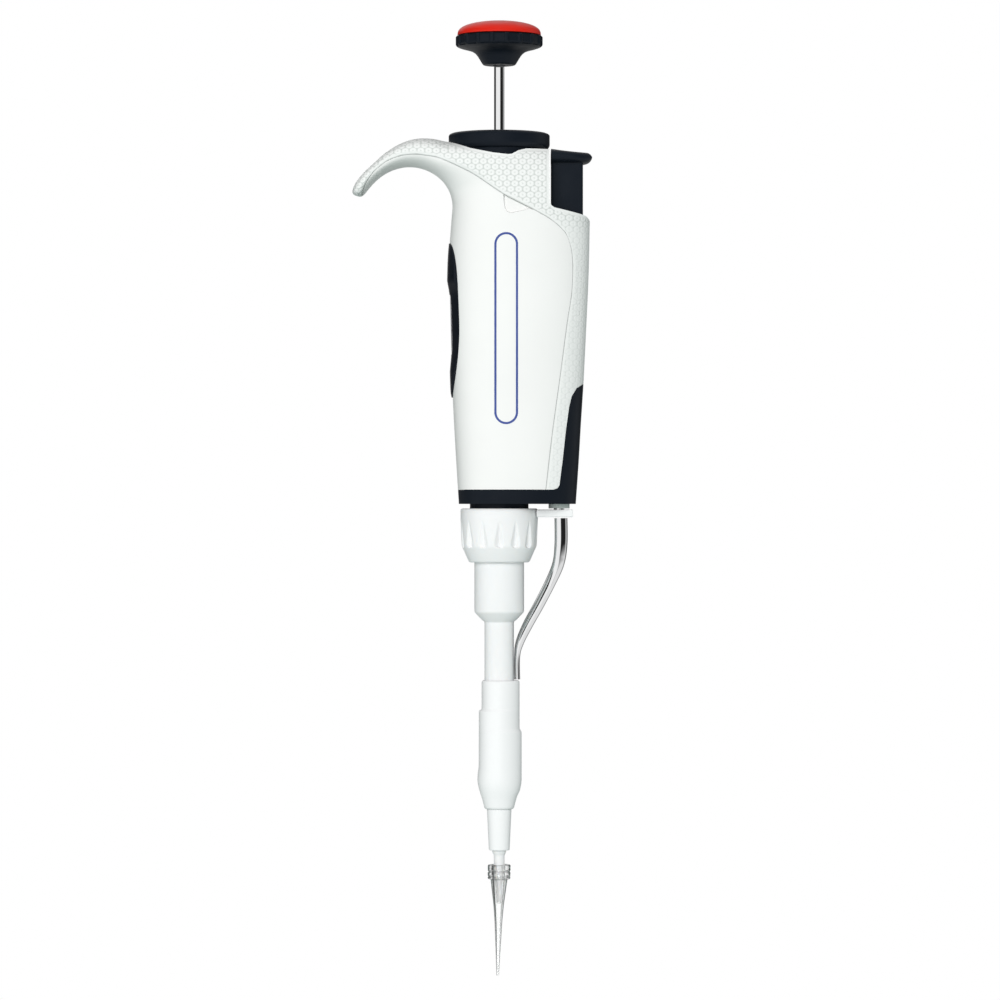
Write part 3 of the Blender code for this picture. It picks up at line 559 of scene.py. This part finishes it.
DIGIT_WHITE = moulded("digit_white", (0.80, 0.80, 0.78), (0.86, 0.86, 0.84), 0.55)
O_RING_BLACK = moulded("o_ring_black", (0.018, 0.018, 0.018), (0.03, 0.03, 0.03), 0.7)
STEEL = metal("polished_steel", (0.86, 0.865, 0.87), 0.035, (1, 1, 0.05))
SPRING_STEEL = metal("spring_steel", (0.62, 0.62, 0.63), 0.22)
BRASS = metal("brass", (0.80, 0.60, 0.30), 0.25)
# each clear part's second colour is painted shade for where it is seen edge-on
TIP_CLEAR = clear_plastic("tip_clear", (0.99, 1.0, 0.995), (0.015, 0.025, 0.022), 0.02)
LENS_CLEAR = clear_plastic("lens_clear", (0.42, 0.44, 0.47), (0.2, 0.2, 0.22), 0.02)


# ---------------- the handle
def section_ring(row, inset, sides):
    """One section of the handle as points."""
    degrees, centre, near, far, half_width, power = row
    angle = math.radians(degrees)
    middle = (near + far) / 2
    half_depth = (far - near) / 2 - inset
    egg = EGG * np.clip((60 - degrees) / 60, 0, 1)
    ring = []
    for i in range(sides):
        along, across = superellipse(TAU * i / sides, power)
        reach = middle + half_depth * along
        y = (half_width - inset) * across * (1 - egg * along)
        x = HOOK_X + reach * math.cos(angle)
        ring.append(place(x, y, centre + reach * math.sin(angle)))
    return ring


def handle_form(name, inset=0.0, heights=None, proud=None, steps=6, sides=96):
    """The handle's outer form, or a stretch of the grip moved in by an inset or out at the front."""
    rings = []
    for row in smooth_rows(HANDLE_SECTIONS, steps):
        if heights and (row[0] > 0 or not heights[0] <= row[1] <= heights[1]):
            continue
        if proud:
            row = row.copy()
            row[2] -= proud(row[1])
            row[4] += proud(row[1])
        rings.append(section_ring(row, inset, sides))
    return loft(name, rings)


def window_prism(name, centre, half, powers, gap=0.0):
    """A rounded upright outline, its upper and lower halves of two powers, pushed back along X."""
    sides = 72
    corners = []
    for i in range(sides):
        angle = TAU * (i + 0.5) / sides
        along, across = superellipse(angle, powers[0] if math.cos(angle) > 0 else powers[1])
        corners.append(place(WINDOW_CUT[0], (half[1] + gap) * across, centre + (half[0] + gap) * along))
    return extruded(name, corners, Vector(((WINDOW_CUT[1] - WINDOW_CUT[0]) * MM, 0, 0)))


def handle_inside():
    """The hollow of the handle."""
    inside = handle_form("inside", WALL, (138.0, GRIP_TOP), steps=4, sides=64)
    top = lathe("inside_top", [(0, 230.6), (11.6, 230.6), (11.6, 215.0), (0, 215.0)], 48)
    rear = block("inside_rear", (12.6, 40.0), (-30.0, 30.0), (219.4, 260.0))
    carve(inside, top, "UNION")
    carve(inside, rear)
    baked(inside)
    discard(top, rear)
    return inside


def make_notch(form, side):
    """Cutters for the thumbnail notch and the catch beside it, on one side of the handle."""
    tree = BVHTree.FromObject(form, bpy.context.evaluated_depsgraph_get())
    middle = Vector(np.mean(NOTCH, axis=0))
    floor, mouth = [], []
    for point in NOTCH:
        start = place(point[0], side * BEYOND, min(point[1], NOTCH_EAVES))
        surface = abs(tree.ray_cast(start, Vector((0, -side, 0)))[0].y) / MM
        lean = (Vector(point) - middle).normalized() * NOTCH_LEAN
        floor.append(place(point[0] - lean.x, side * (surface - NOTCH_DEPTH), point[1] - lean.y))
        out = side * (surface + 2 * NOTCH_DEPTH)
        mouth.append(place(point[0] + 2 * lean.x, out, point[1] + 2 * lean.y))
    catch = side_prism("catch", CATCH, sorted((side * (surface - 0.5), side * 20.0)))
    return loft("notch", [floor, mouth]), catch


def make_shells():
    """The front shell, the textured rear shell and the base cover, cut from one form."""
    inside = handle_inside()
    form = handle_form("handle_form")
    above = side_prism("above", [(-15.1, 270.0), *TOP_LINE, (40.0, 270.0)])
    wide, narrow = RING_RADIUS + HUB_GAP, HUB_RADIUS + HUB_GAP
    steps = [(wide, 262.0), (wide, RING_FOOT), (narrow, RING_FOOT), (narrow, HUB_FLOOR)]
    bore = lathe("bore", [(0, 262.0), *steps, (0, HUB_FLOOR)])
    slot = block("slot", (14.6, 24.6), (-5.4, 5.4), (208.5, 223.2))
    for cutter in (above, inside, bore, slot):
        carve(form, cutter)
    baked(form)
    discard(above, bore, slot)

    seam = smooth_rows(SEAM, 4)
    front_region = side_prism("front_region", [(-60.0, 216.0), *seam, (-60.0, 130.0)])
    behind_seam = [(-60.0, 216.0 + GAP), *shifted_line(seam, GAP), (-60.0, 129.0)]
    rear_limit = side_prism("rear_limit", behind_seam)
    base_region = side_prism("base_region", [*BASE_LINE, (40.0, 120.0), (-40.0, 120.0)])
    over_base = [*shifted_line(BASE_LINE, GAP), (41.0, 119.0), (-41.0, 119.0)]
    base_limit = side_prism("base_limit", over_base)
    window = window_prism("window_hole", BEZEL_CENTRE, BEZEL_HALF, BEZEL_POWERS, GAP)
    notches = [cutter for side in (-1, 1) for cutter in make_notch(form, side)]
    necks = [
        lathe("neck_hole", [(0, 150.0), (8.8, 150.0), (8.8, 130.0), (0, 130.0)]),
        lathe("bush_hole", [(0, 145.0), (3.35, 145.0), (3.35, 130.0), (0, 130.0)], axis_x=EJECTOR_X),
    ]
    # each shell by its node: its material, the region that it keeps, if any, and what is cut from it
    shells = {
        "front_shell": (SHELL_WHITE, front_region, [base_limit, window, *notches]),
        "rear_shell": (GRIP_WHITE, None, [rear_limit, base_limit]),
        "base_cover": (CHARCOAL, base_region, necks),
    }
    for node, (material, region, cutters) in shells.items():
        piece = new_object(f"{node}_skin", form.data.copy())
        if region:
            carve(piece, region, "INTERSECT")
        for cutter in cutters:
            carve(piece, cutter)
        finished(baked(piece, 40), material, "handle", node)
    discard(form, front_region, rear_limit, base_region, base_limit, window, *notches, *necks)
    make_window(inside)
    discard(inside)


def bezel_height(height):
    """How far the window's frame stands out of the grip's front at a height, in millimetres."""
    heights = [160.0, 166.5, 169.0, 174.8, 177.5, 179.6, 197.0, 199.4, 201.0, 207.0, 213.0, 222.0]
    proud = [0.2, 0.2, 0.6, 0.6, 0.3, 0.05, 0.1, 0.4, 0.75, 0.55, 0.2, 0.2]
    return float(np.interp(height, heights, proud))


def make_window(inside):
    """The black frame of the volume window, with its raised ends, and the smoky lens in it."""
    outline = window_prism("bezel_outline", BEZEL_CENTRE, BEZEL_HALF, BEZEL_POWERS)
    lens_hole = window_prism("lens_hole", LENS_CENTRE, LENS_HALF, LENS_POWERS, LENS_GAP)
    lens_outline = window_prism("lens_outline", LENS_CENTRE, LENS_HALF, LENS_POWERS)
    bezel = handle_form("window_bezel_skin", 0.0, (160.0, GRIP_TOP), bezel_height, steps=10)
    carve(bezel, inside)
    carve(bezel, outline, "INTERSECT")
    carve(bezel, lens_hole)
    finished(baked(bezel, 40), WINDOW_BLACK, "handle", "window_bezel")
    lens = handle_form("window_lens_skin", 0.0, (171.0, 210.0), steps=8)
    carve(lens, inside)
    carve(lens, lens_outline, "INTERSECT")
    finished(baked(lens, 40), LENS_CLEAR, "handle", "window_lens")
    discard(outline, lens_hole, lens_outline)


PRINT_X = 2.0
PRINT_BOTTOM = 159.5
PRINT_TOP = 214.5
PRINT_RADIUS = 3.4
PRINT_LINE = 0.62
INK_RANGE = (-0.05, 0.06)  # from just inside the shell to just proud of it


def make_print():
    """A plain mark printed up the front shell: a long narrow loop with round ends."""
    shell = bpy.data.objects["front_shell_skin"]
    tree = BVHTree.FromObject(shell, bpy.context.evaluated_depsgraph_get())
    centre = (PRINT_TOP + PRINT_BOTTOM) / 2
    straight = (PRINT_TOP - PRINT_BOTTOM) / 2 - PRINT_RADIUS
    bm = bmesh.new()
    rings = []
    ups = np.linspace(-1, 1, 61)
    over_top = np.linspace(0.1, math.pi - 0.1, 16)
    path = [(0.0, centre + straight * up) for up in ups]
    path += [(angle, centre + straight) for angle in over_top]
    path += [(math.pi, centre - straight * up) for up in ups]
    path += [(angle + math.pi, centre - straight) for angle in over_top]
    inside, proud = INK_RANGE
    for angle, height in path:
        out = Vector((math.cos(angle), math.sin(angle)))
        ring = []
        for reach, lift in ((0, inside), (0, proud), (PRINT_LINE, proud), (PRINT_LINE, inside)):
            radius = PRINT_RADIUS - reach
            start = place(PRINT_X + out.x * radius, -BEYOND, height + out.y * radius)
            hit = tree.ray_cast(start, Vector((0, 1, 0)))[0]
            ring.append(bm.verts.new((hit.x, hit.y - lift * MM, hit.z)))
        rings.append(ring)
    for low, high in zip(rings, rings[1:] + rings[:1]):
        for i in range(4):
            j = (i + 1) % 4
            bm.faces.new((low[i], low[j], high[j], high[i]))
    finished(new_object("front_mark", mesh_of(bm, "front_mark")), BLUE_INK, "handle")


# ---------------- push button, ring and rod
FLATS = 18
RIM_RADIUS = 12.6
RIM_HEIGHTS = (269.1, 272.0)
RIB_HALF = 0.17  # a rib's half width, as a share of the way from one rib to the next
RIB_FLANK = 0.06
RIB_PROUD = 0.3
CAP_RADIUS = 12.1
CAP_EDGE = 272.4
CAP_RISE = 4.1
CAP_FOOT = 270.9


def fluted(radius, height, angle):
    """The push button's rim: flat panels set back between narrow flat-topped ribs."""
    if not RIM_HEIGHTS[0] < height < RIM_HEIGHTS[1] or radius < RIM_RADIUS - 1.1:
        return radius
    turn = abs((angle / TAU * FLATS + 0.5) % 1.0 - 0.5)
    rib = np.clip((RIB_HALF - turn) / RIB_FLANK, 0.0, 1.0)
    half_turn = math.pi / FLATS
    panel = RIM_RADIUS * math.cos(half_turn) / math.cos(half_turn * (1 - 2 * turn))
    depth = RIM_RADIUS - panel + RIB_PROUD
    return radius - depth * (1 - rib)


def make_button():
    """The red cap, the fluted button under it, the rod, and the adjusting ring it passes through."""
    dome = []
    for tilt in np.linspace(0, math.pi / 2, 30)[:-1]:
        dome.append((CAP_RADIUS * math.sin(tilt), CAP_EDGE + CAP_RISE * math.cos(tilt) ** 0.72))
    under = [(CAP_RADIUS, CAP_EDGE), (5.0, CAP_EDGE), (5.0, CAP_FOOT), (0, CAP_FOOT)]
    finished(lathe("button_cap_skin", [*dome, *under]), CAP_RED, "button", "button_cap")
    rim = [
        (12.2, 272.1), (12.5, 272.0), (RIM_RADIUS, 271.8), (RIM_RADIUS, 269.7), (12.45, 269.3),
        (12.1, 269.05),
    ]
    skirt = [
        (11.6, 268.85), (10.7, 268.55), (9.6, 268.3), (8.6, 268.0), (7.7, 267.65), (6.9, 267.1),
        (6.3, 266.4), (5.8, 265.6), (5.3, 264.8), (4.9, 264.1), (4.6, 263.8), (4.3, 263.7),
    ]
    profile = [*rim, *skirt, (1.8, 263.7), (1.8, 270.6), (5.3, 270.6), (5.3, 272.1)]
    button = lathe("push_button_skin", rounded(profile, 0.15, 3), FLATS * 24, fluted, sharp_angle=40)
    finished(button, CHARCOAL, "button", "push_button")
    profile = [
        (0, 270.3), (1.5, 270.3), (1.5, 182.0), (3.0, 182.0), (3.0, 180.0), (1.5, 180.0), (1.5, 142.8),
        (0, 142.8),
    ]
    finished(lathe("plunger_rod_skin", rounded(profile), 64), STEEL, "button", "plunger_rod")
    profile = [
        (13.6, 244.0), (RING_RADIUS, 243.5), (RING_RADIUS, 240.2), (13.9, 239.2), (HUB_RADIUS, 239.2),
        (HUB_RADIUS, 231.3), (1.8, 231.3), (1.8, 243.6), (3.4, 243.6), (3.9, 243.2), (9.6, 243.2),
        (10.4, 244.0),
    ]
    ring = lathe("adjusting_ring_skin", rounded(profile, 0.7, 6), 128)
    finished(ring, CHARCOAL, "ring", "adjusting_ring")


DIGIT_SIZE = 5.2 * MM
DIGIT_PROUD = 0.04 * MM


def make_drums():
    """White numbers 0 to 9 round each of the three drums behind the lens."""
    for node, body in (("drum_hundreds", "hundreds"), ("drum_tens", "tens"), ("drum_units", "units")):
        low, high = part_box(node)
        radius = (high[0] - low[0]) / 2 + DIGIT_PROUD
        centre = (low[2] + high[2]) / 2
        digits = bmesh.new()
        for number in range(10):
            text = bpy.data.curves.new(f"{node}_digit_{number}", "FONT")
            text.body = str(number)
            text.size = DIGIT_SIZE
            text.align_x = "CENTER"
            text.align_y = "CENTER"
            holder = new_object(text.name, text)
            graph = bpy.context.evaluated_depsgraph_get()
            mesh = bpy.data.meshes.new_from_object(holder.evaluated_get(graph))
            turn = math.pi + TAU * number / 10
            for vertex in mesh.vertices:
                angle = turn - vertex.co.x / radius
                height = centre + vertex.co.y
                vertex.co = (radius * math.cos(angle), radius * math.sin(angle), height)
            digits.from_mesh(mesh)
            discard(holder)
        mesh = bpy.data.meshes.new(f"{node}_digits")
        digits.to_mesh(mesh)
        digits.free()
        finished(new_object(mesh.name, mesh), DIGIT_WHITE, body)


# ---------------- nose
NUT_FLUTES = 14
FLUTE_TOP = 132.2
FLUTE_FOOT = 123.9
FLUTE_HALF = 0.34  # its widest half width, as a share of the way from one flute to the next
FLUTE_DEPTH = 0.95
FLUTE_ROUND = 0.14  # the share of its height that its round end takes


def nut_flute(radius, height, angle):
    """The connecting nut's V flutes: a point at the top, widening downwards to a round end."""
    if radius < 9.5 or not 123.0 < height < 132.4:
        return radius
    down = (FLUTE_TOP - height) / (FLUTE_TOP - FLUTE_FOOT)
    turn = abs((angle / TAU * NUT_FLUTES) % 1.0 - 0.5)
    into_end = max(0.0, down - (1 - FLUTE_ROUND)) / FLUTE_ROUND
    half_width = FLUTE_HALF * max(down, 0.0) ** 0.8 * math.sqrt(max(0.0, 1 - into_end**2))
    if turn >= half_width:
        return radius
    return radius - FLUTE_DEPTH * min(1.0, down * 1.4) * (1 - (turn / half_width) ** 1.6)


NUT_RADIUS = 11.2
TIP_TOP = 32.1
TIP_LEAN = 0.45


def make_nose():
    """The fluted nut, the tip holder and the clear tip."""
    outer = [(NUT_RADIUS, h) for h in np.linspace(134.9, 132.6, 3)]
    outer += [(NUT_RADIUS - 0.3 * (132.4 - h) / 7.4, h) for h in np.linspace(132.4, 125.0, 30)]
    outer += [(10.85 - 0.55 * u**1.5, 124.7 - 1.4 * u) for u in np.linspace(0, 1, 8)]
    profile = [
        (10.8, 135.3), *outer, (8.95, 120.2), (8.7, 119.85), (8.4, 119.7), (7.5, 119.7), (7.5, 130.6),
        (8.9, 130.6), (8.9, 135.3),
    ]
    nut = lathe("connecting_nut_skin", profile, NUT_FLUTES * 24, nut_flute, sharp_angle=60)
    finished(nut, NOSE_WHITE, "nut", "connecting_nut")
    profile = [
        (8.2, 133.0), (8.2, 131.0), (7.2, 131.0), (7.2, 105.3), (4.9, 102.9), (4.26, 102.5),
        (4.26, 57.6), (3.7, 57.0), (2.0, 57.0), (2.0, 35.6), (1.55, 34.9), (1.5, 31.5),
        (0.75, 20.9), (0.3, 20.9), (0.3, 70.0), (0.9, 71.0), (0.9, 107.0), (5.8, 107.0), (5.8, 133.0),
    ]
    holder = lathe("tip_holder_skin", rounded(profile, 0.5))
    finished(holder, NOSE_WHITE, "handle", "tip_holder")
    profile = [
        (3.1, TIP_TOP), (3.3, 31.9), (3.3, 30.35), (3.05, 30.2), (3.05, 30.0), (3.3, 29.85), (3.3, 28.9),
        (3.1, 28.75), (3.1, 28.6), (3.3, 28.45), (3.25, 28.0), (2.45, 27.8), (1.5, 20.4), (1.1, 15.5),
        (0.35, 0.0), (0.15, 0.0), (0.7, 15.5), (1.05, 20.1), (1.2, 21.3), (1.85, 31.0), (2.1, TIP_TOP),
    ]
    tip = lathe("disposable_tip_skin", rounded(profile, 0.2), 72)
    for vertex in tip.data.vertices:  # the tip sits a little askew on its cone
        vertex.co.x -= TIP_LEAN * MM * (1 - (vertex.co.z - TIP_END) / (TIP_TOP * MM))
    finished(tip, TIP_CLEAR, "tip", "disposable_tip")


# ---------------- ejector
# The arm's sections, down its length: (x, height, half thickness, half width)
ARM = [
    (17.9, 132.5, 1.9, 1.9), (17.9, 124.9, 1.9, 1.9), (17.1, 119.2, 1.75, 1.9), (14.75, 113.7, 1.6, 1.95),
    (11.45, 107.3, 1.55, 2.0), (8.4, 101.8, 1.5, 2.0), (6.0, 96.6, 1.25, 2.0), (5.2, 92.4, 0.88, 1.9),
    (5.2, 85.8, 0.88, 1.7),
]
TWIST_HEIGHTS = (100.0, 113.0, 121.0)
TWIST = (-0.25, -0.25, 0.25)  # how far the arm's sections lean to one side, for each unit outwards
# The sleeve's outline: (height, left edge, right edge)
SLEEVE = [
    (85.5, -4.7, 5.5), (85.2, -5.0, 5.82), (84.9, -5.1, 5.9), (77.4, -5.1, 5.9),
    (77.1, -5.2, 5.9), (76.7, -5.8, 5.9), (76.4, -5.9, 5.9), (71.6, -5.9, 5.9), (71.2, -5.9, 6.1),
    (70.6, -5.9, 6.45), (70.2, -5.9, 6.5), (60.5, -5.95, 6.5), (58.2, -6.25, 6.5), (56.6, -6.3, 6.5),
    (55.2, -6.15, 6.35), (53.6, -5.75, 6.0), (51.9, -5.2, 5.2), (50.4, -4.75, 4.75), (49.2, -4.45, 4.45),
    (48.6, -4.3, 4.3), (48.3, -4.0, 4.0),
]


PLATE_BACK = 15.0
PLATE_FRONT = 26.85
PLATE_HALF = 8.0
PLATE_DISH = 0.55


def rounded_body(obj, width):
    """Ease the edges of a plain body."""
    bevel = obj.modifiers.new("round", "BEVEL")
    bevel.width = width * MM
    bevel.segments = 4
    bevel.limit_method = "ANGLE"
    bevel.angle_limit = math.radians(30)
    return obj


def make_ejector_button():
    """The ejector's thumb plate, dished on top and round at its end, on its column."""
    plate_rings = []
    for reach in np.linspace(0.0, 1.0, 26):
        x = PLATE_BACK + (PLATE_FRONT - PLATE_BACK) * reach
        half = PLATE_HALF * (1 - max(0.0, reach - 0.35) ** 2.6 * 1.55)
        top = 239.3 - 1.2 * reach**1.4
        bottom = 235.0 + 2.5 * max(0.0, reach - 0.8)
        middle = (top + bottom) / 2
        round_end = math.sqrt(max(0.03, 1 - max(0.0, (reach - 0.86) / 0.14) ** 2))
        half_height = (top - bottom) / 2 * round_end
        hollow = PLATE_DISH * math.sin(math.pi * min(1.0, reach * 1.05))
        ring = []
        for i in range(40):
            across, up = superellipse(TAU * i / 40, 3.2)
            dish = hollow * (1 - across**2) if up > 0 else 0.0
            ring.append(place(x, half * across, middle + half_height * up - dish))
        plate_rings.append(ring)
    plate = loft("ejector_button_skin", plate_rings)
    column = rounded_body(block("column", (15.0, 24.2), (-5.0, 5.0), (219.4, 236.6)), 0.7)
    stem = block("stem", (15.2, 21.0), (-4.5, 4.5), (209.0, 222.0))
    for part in (column, stem):
        baked(part)
        carve(plate, part, "UNION")
    finished(baked(plate, 45), CHARCOAL, "ejector", "ejector_button")
    discard(column, stem)


def make_ejector():
    """The bracket, the bent arm, the sleeve with its offset steps, and the end tube."""
    bracket = block("ejector_bracket_skin", (9.8, 21.3), (-4.2, 4.2), (132.8, 135.0))
    nut_space = lathe("nut_space", [(0, 138.0), (11.5, 138.0), (11.5, 130.0), (0, 130.0)])
    carve(bracket, nut_space)
    rounded_body(baked(bracket), 0.3)
    finished(baked(bracket), BRIGHT_WHITE, "ejector", "ejector_bracket")
    discard(nut_space)

    rows = smooth_rows(ARM, 12)
    rings = []
    for i, (x, height, depth, width) in enumerate(rows):
        before = rows[max(i - 1, 0)]
        after = rows[min(i + 1, len(rows) - 1)]
        along = Vector((after[0] - before[0], after[1] - before[1])).normalized()
        twist = np.interp(height, TWIST_HEIGHTS, TWIST)
        ring = []
        for k in range(48):
            angle = TAU * k / 48
            out = depth * math.cos(angle)
            y = width * math.sin(angle) + twist * out
            ring.append(place(x - along.y * out, y, height + along.x * out))
        rings.append(ring)
    finished(loft("ejector_arm_skin", rings), STEEL, "ejector", "ejector_arm")

    rings = []
    for height, left, right in SLEEVE:
        ring = []
        for k in range(96):
            angle = TAU * k / 96
            power = np.interp(height, (50.0, 58.0), (2.0, 1.68)) if math.cos(angle) > 0 else 2.0
            along, across = superellipse(angle, power)
            reach = right if along > 0 else -left
            ring.append(place(reach * along, (right - left) / 2 * across, height))
        rings.append(ring)
    sleeve = loft("ejector_sleeve_skin", rings, 50)
    profile = [(0, 90.0), (4.56, 90.0), (4.56, 56.5), (3.9, 55.5), (3.9, 45.0), (0, 45.0)]
    bore = lathe("sleeve_bore", profile)
    carve(sleeve, bore)
    finished(baked(sleeve, 50), BRIGHT_WHITE, "ejector", "ejector_sleeve")
    discard(bore)

    tube = [(3.6, 55.2), (3.6, 48.4), (3.5, 46.8), (3.0, 36.3), (2.3, 36.3), (2.3, 55.2)]
    finished(lathe("ejector_tube_skin", rounded(tube)), BRIGHT_WHITE, "ejector", "ejector_tube")


# ---------------- the frame's own nodes
KEPT_NODES = {
    "mechanism_frame": FITTING_GREY, "top_bearing": BRASS, "lower_bearing": BRASS,
    "coupling_neck": CHARCOAL, "blowout_plate": STEEL, "blowout_spring": SPRING_STEEL,
    "ejector_bush": BUSH_GREY, "piston_seal": SEAL_WHITE, "seal_oring": O_RING_BLACK,
    "spring_washer": FITTING_GREY, "drive_sleeve": STEEL, "stop_nut": BRASS, "stop_collar": STEEL,
    "piston_head": FITTING_GREY, "piston": STEEL, "ejector_pushrod": STEEL,
    "drum_hundreds": DRUM_BLACK, "drum_tens": DRUM_BLACK, "drum_units": DRUM_BLACK,
}


RETURN_SEAT = 112.2
RETURN_JOINT = 121.4  # where the return spring's two parts meet
RETURN_TOP = 139.7
RETURN_RADIUS = 4.6
RETURN_WIRE = 0.9
EJECTOR_SPRING = (174.8, 208.7)


def coil(name, radius, wire, bottom, top, turns, start=0.0, axis_x=0.0):
    """A spring's round wire, wound from one height of its middle line to another."""
    steps, sides = 36, 12
    rings = []
    for i in range(round(turns * steps) + 1):
        angle = start + TAU * i / steps
        height = bottom + (top - bottom) * i / (turns * steps)
        out = Vector((math.cos(angle), math.sin(angle), 0)) * MM
        middle = place(axis_x, 0, height) + radius * out
        ring = []
        for k in range(sides):
            around = TAU * k / sides
            ring.append(middle + wire / 2 * (out * math.cos(around) + UP * MM * math.sin(around)))
        rings.append(ring)
    return loft(name, rings)


def pressed(spring):
    """Give a spring a mesh of its own, not shared with another piece."""
    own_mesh(spring)


def make_springs():
    """The springs that moving pieces press: the return spring in two parts, one for each stroke."""
    size = RETURN_RADIUS, RETURN_WIRE
    end = RETURN_WIRE / 2
    lower = coil("return_spring_lower_coil", *size, RETURN_SEAT + end, RETURN_JOINT, 2.25)
    upper = coil("return_spring_upper_coil", *size, RETURN_JOINT, RETURN_TOP - end, 4.75, TAU / 4)
    finished(lower, SPRING_STEEL, "handle", "return_spring")
    finished(upper, SPRING_STEEL, "stop")
    pressed(lower)
    pressed(upper)
    bottom, top = EJECTOR_SPRING
    spring = coil("ejector_spring_coil", 2.6, 0.7, bottom + 0.35, top - 0.35, 7, axis_x=EJECTOR_X)
    finished(spring, SPRING_STEEL, "handle", "ejector_spring")
    pressed(spring)


def dress_kept_nodes():
    """Give the frame's nodes that stay in view, or stay inside, their materials."""
    for node, material in KEPT_NODES.items():
        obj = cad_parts[node]
        if not obj.material_slots:
            obj.data.materials.append(material)
        for slot in obj.material_slots:
            slot.material = material


# ---------------- studio setting
def area_light(name, place_m, aim_m, size, power, colour=(1, 1, 1)):
    """A soft rectangular lamp aimed at a point."""
    light = bpy.data.lights.new(name, "AREA")
    light.shape = "RECTANGLE"
    light.size, light.size_y = size
    light.energy = power
    light.color = colour
    lamp = new_object(name, light)
    lamp.location = place_m
    lamp.rotation_euler = (Vector(aim_m) - Vector(place_m)).to_track_quat("-Z", "Y").to_euler()
    return lamp


def studio_world():
    """White to the eye, a soft light for matt faces, and a studio's light and dark bands for gloss."""
    world = bpy.data.worlds.new("studio")
    world.use_nodes = True
    tree = world.node_tree
    background = tree.nodes["Background"]
    background.inputs["Strength"].default_value = 1.0

    def node(kind, operation=None, *values):
        made = tree.nodes.new(kind)
        if operation:
            made.operation = operation
        for socket, value in zip(made.inputs, values):
            feed(tree.links, socket, value)
        return made

    def bands(factor, stops):
        ramp = node("ShaderNodeValToRGB", None, factor)
        elements = ramp.color_ramp.elements
        for position, _ in stops[1:-1]:
            elements.new(position)
        for element, (_, colour) in zip(elements, stops):
            element.color = rgba(colour)
        return ramp.outputs["Color"]

    def choose(factor, first, second):
        mix = tree.nodes.new("ShaderNodeMix")
        mix.data_type = "RGBA"
        for index, value in ((0, factor), (6, first), (7, second)):
            feed(tree.links, mix.inputs[index], value)
        return mix.outputs[2]

    direction = node("ShaderNodeTexCoord").outputs["Generated"]
    split = node("ShaderNodeSeparateXYZ", None, direction)
    x, y, z = split.outputs
    # round from the back (0) by the left (0.25), the front (0.5) and the right (0.75)
    turn = node("ShaderNodeMath", "ARCTAN2", x, node("ShaderNodeMath", "MULTIPLY", y, -1.0).outputs[0])
    around = node("ShaderNodeMath", "MULTIPLY_ADD", turn.outputs[0], 1 / TAU, 0.5).outputs[0]
    up = node("ShaderNodeMath", "MULTIPLY_ADD", z, 0.5, 0.5).outputs[0]
    tilted = bands(up, [(0.0, 0.0), (0.62, 0.0), (0.635, 1.0), (1.0, 1.0)])
    above = bands(up, [(0.0, 0.0), (0.77, 0.0), (0.87, 1.0), (1.0, 1.0)])
    below = bands(up, [(0.0, 1.0), (0.40, 1.0), (0.47, 0.0), (1.0, 0.0)])
    gloss = choose(tilted, bands(around, GLOSS_BANDS), bands(around, TILTED_BANDS))
    gloss = choose(below, choose(above, gloss, (1.0, 1.0, 1.0)), bands(around, LOW_BANDS))
    through = bands(around, THROUGH_BANDS)
    ambient = bands(up, AMBIENT_BANDS)
    rays = node("ShaderNodeLightPath").outputs
    seen = choose(rays["Is Glossy Ray"], ambient, gloss)
    seen = choose(rays["Is Transmission Ray"], seen, through)
    seen = choose(rays["Is Camera Ray"], seen, (1.0, 1.0, 1.0))
    tree.links.new(seen, background.inputs["Color"])
    bpy.context.scene.world = world


# Round the studio from the back by the left, front and right: what gloss sees when it faces level, up
# and down, and what clear parts see. Last, the light on matt faces, from below to above.
GLOSS_BANDS = [
    (0.0, 0.75), (0.03, 0.75), (0.06, 0.05), (0.27, 0.04), (0.30, 1.0), (0.55, 1.0), (0.575, 0.02),
    (0.76, 0.015), (0.78, 0.5), (0.84, 0.5), (0.86, 0.04), (0.94, 0.05), (0.97, 0.75), (1.0, 0.75),
]
TILTED_BANDS = [
    (0.0, 0.8), (0.13, 0.9), (0.18, 0.02), (0.47, 0.02), (0.50, 0.45), (0.80, 0.5), (0.86, 0.1),
    (1.0, 0.6),
]
LOW_BANDS = [
    (0.0, 0.35), (0.06, 0.6), (0.45, 0.7), (0.55, 0.85), (0.82, 0.85), (0.86, 0.3), (1.0, 0.35),
]
THROUGH_BANDS = [(0.0, 1.0), (0.08, 1.0), (0.12, 0.03), (0.40, 0.03), (0.44, 1.0), (1.0, 1.0)]
AMBIENT_BANDS = [
    (0.0, (0.37, 0.47, 0.44)), (0.40, (0.32, 0.38, 0.365)), (0.55, (0.29, 0.31, 0.305)),
    (1.0, (0.22, 0.23, 0.23)),
]


def make_stage():
    """A white studio all round, soft lamps, and the camera."""
    scene = bpy.context.scene
    studio_world()

    middle = (0.0, 0.0, -0.02)
    cool = (0.97, 1.0, 1.0)
    lamps = [
        area_light("front_softbox", (-0.38, -1.82, 0.35), middle, (0.9, 1.4), 33),
        area_light("left_strip", (-1.5, -0.4, -0.6), (0.0, 0.0, -0.1), (0.4, 0.8), 1.5, cool),
        area_light("right_strip", (1.6, -0.1, 0.2), middle, (0.4, 1.2), 5.5, cool),
    ]
    for lamp in lamps:
        lamp.visible_glossy = False

    camera = bpy.data.cameras.new("camera")
    camera.sensor_width = 36.0
    camera.lens = 157.0
    lens = new_object("camera", camera)
    lens.location = place(0.23, -1264.0, 137.75)
    lens.rotation_euler = (math.pi / 2, 0.0, 0.0)
    scene.camera = lens
    scene.view_settings.view_transform = "Standard"


make_shells()
make_print()
make_button()
make_drums()
make_nose()
make_ejector_button()
make_ejector()
make_springs()
dress_kept_nodes()
make_stage()
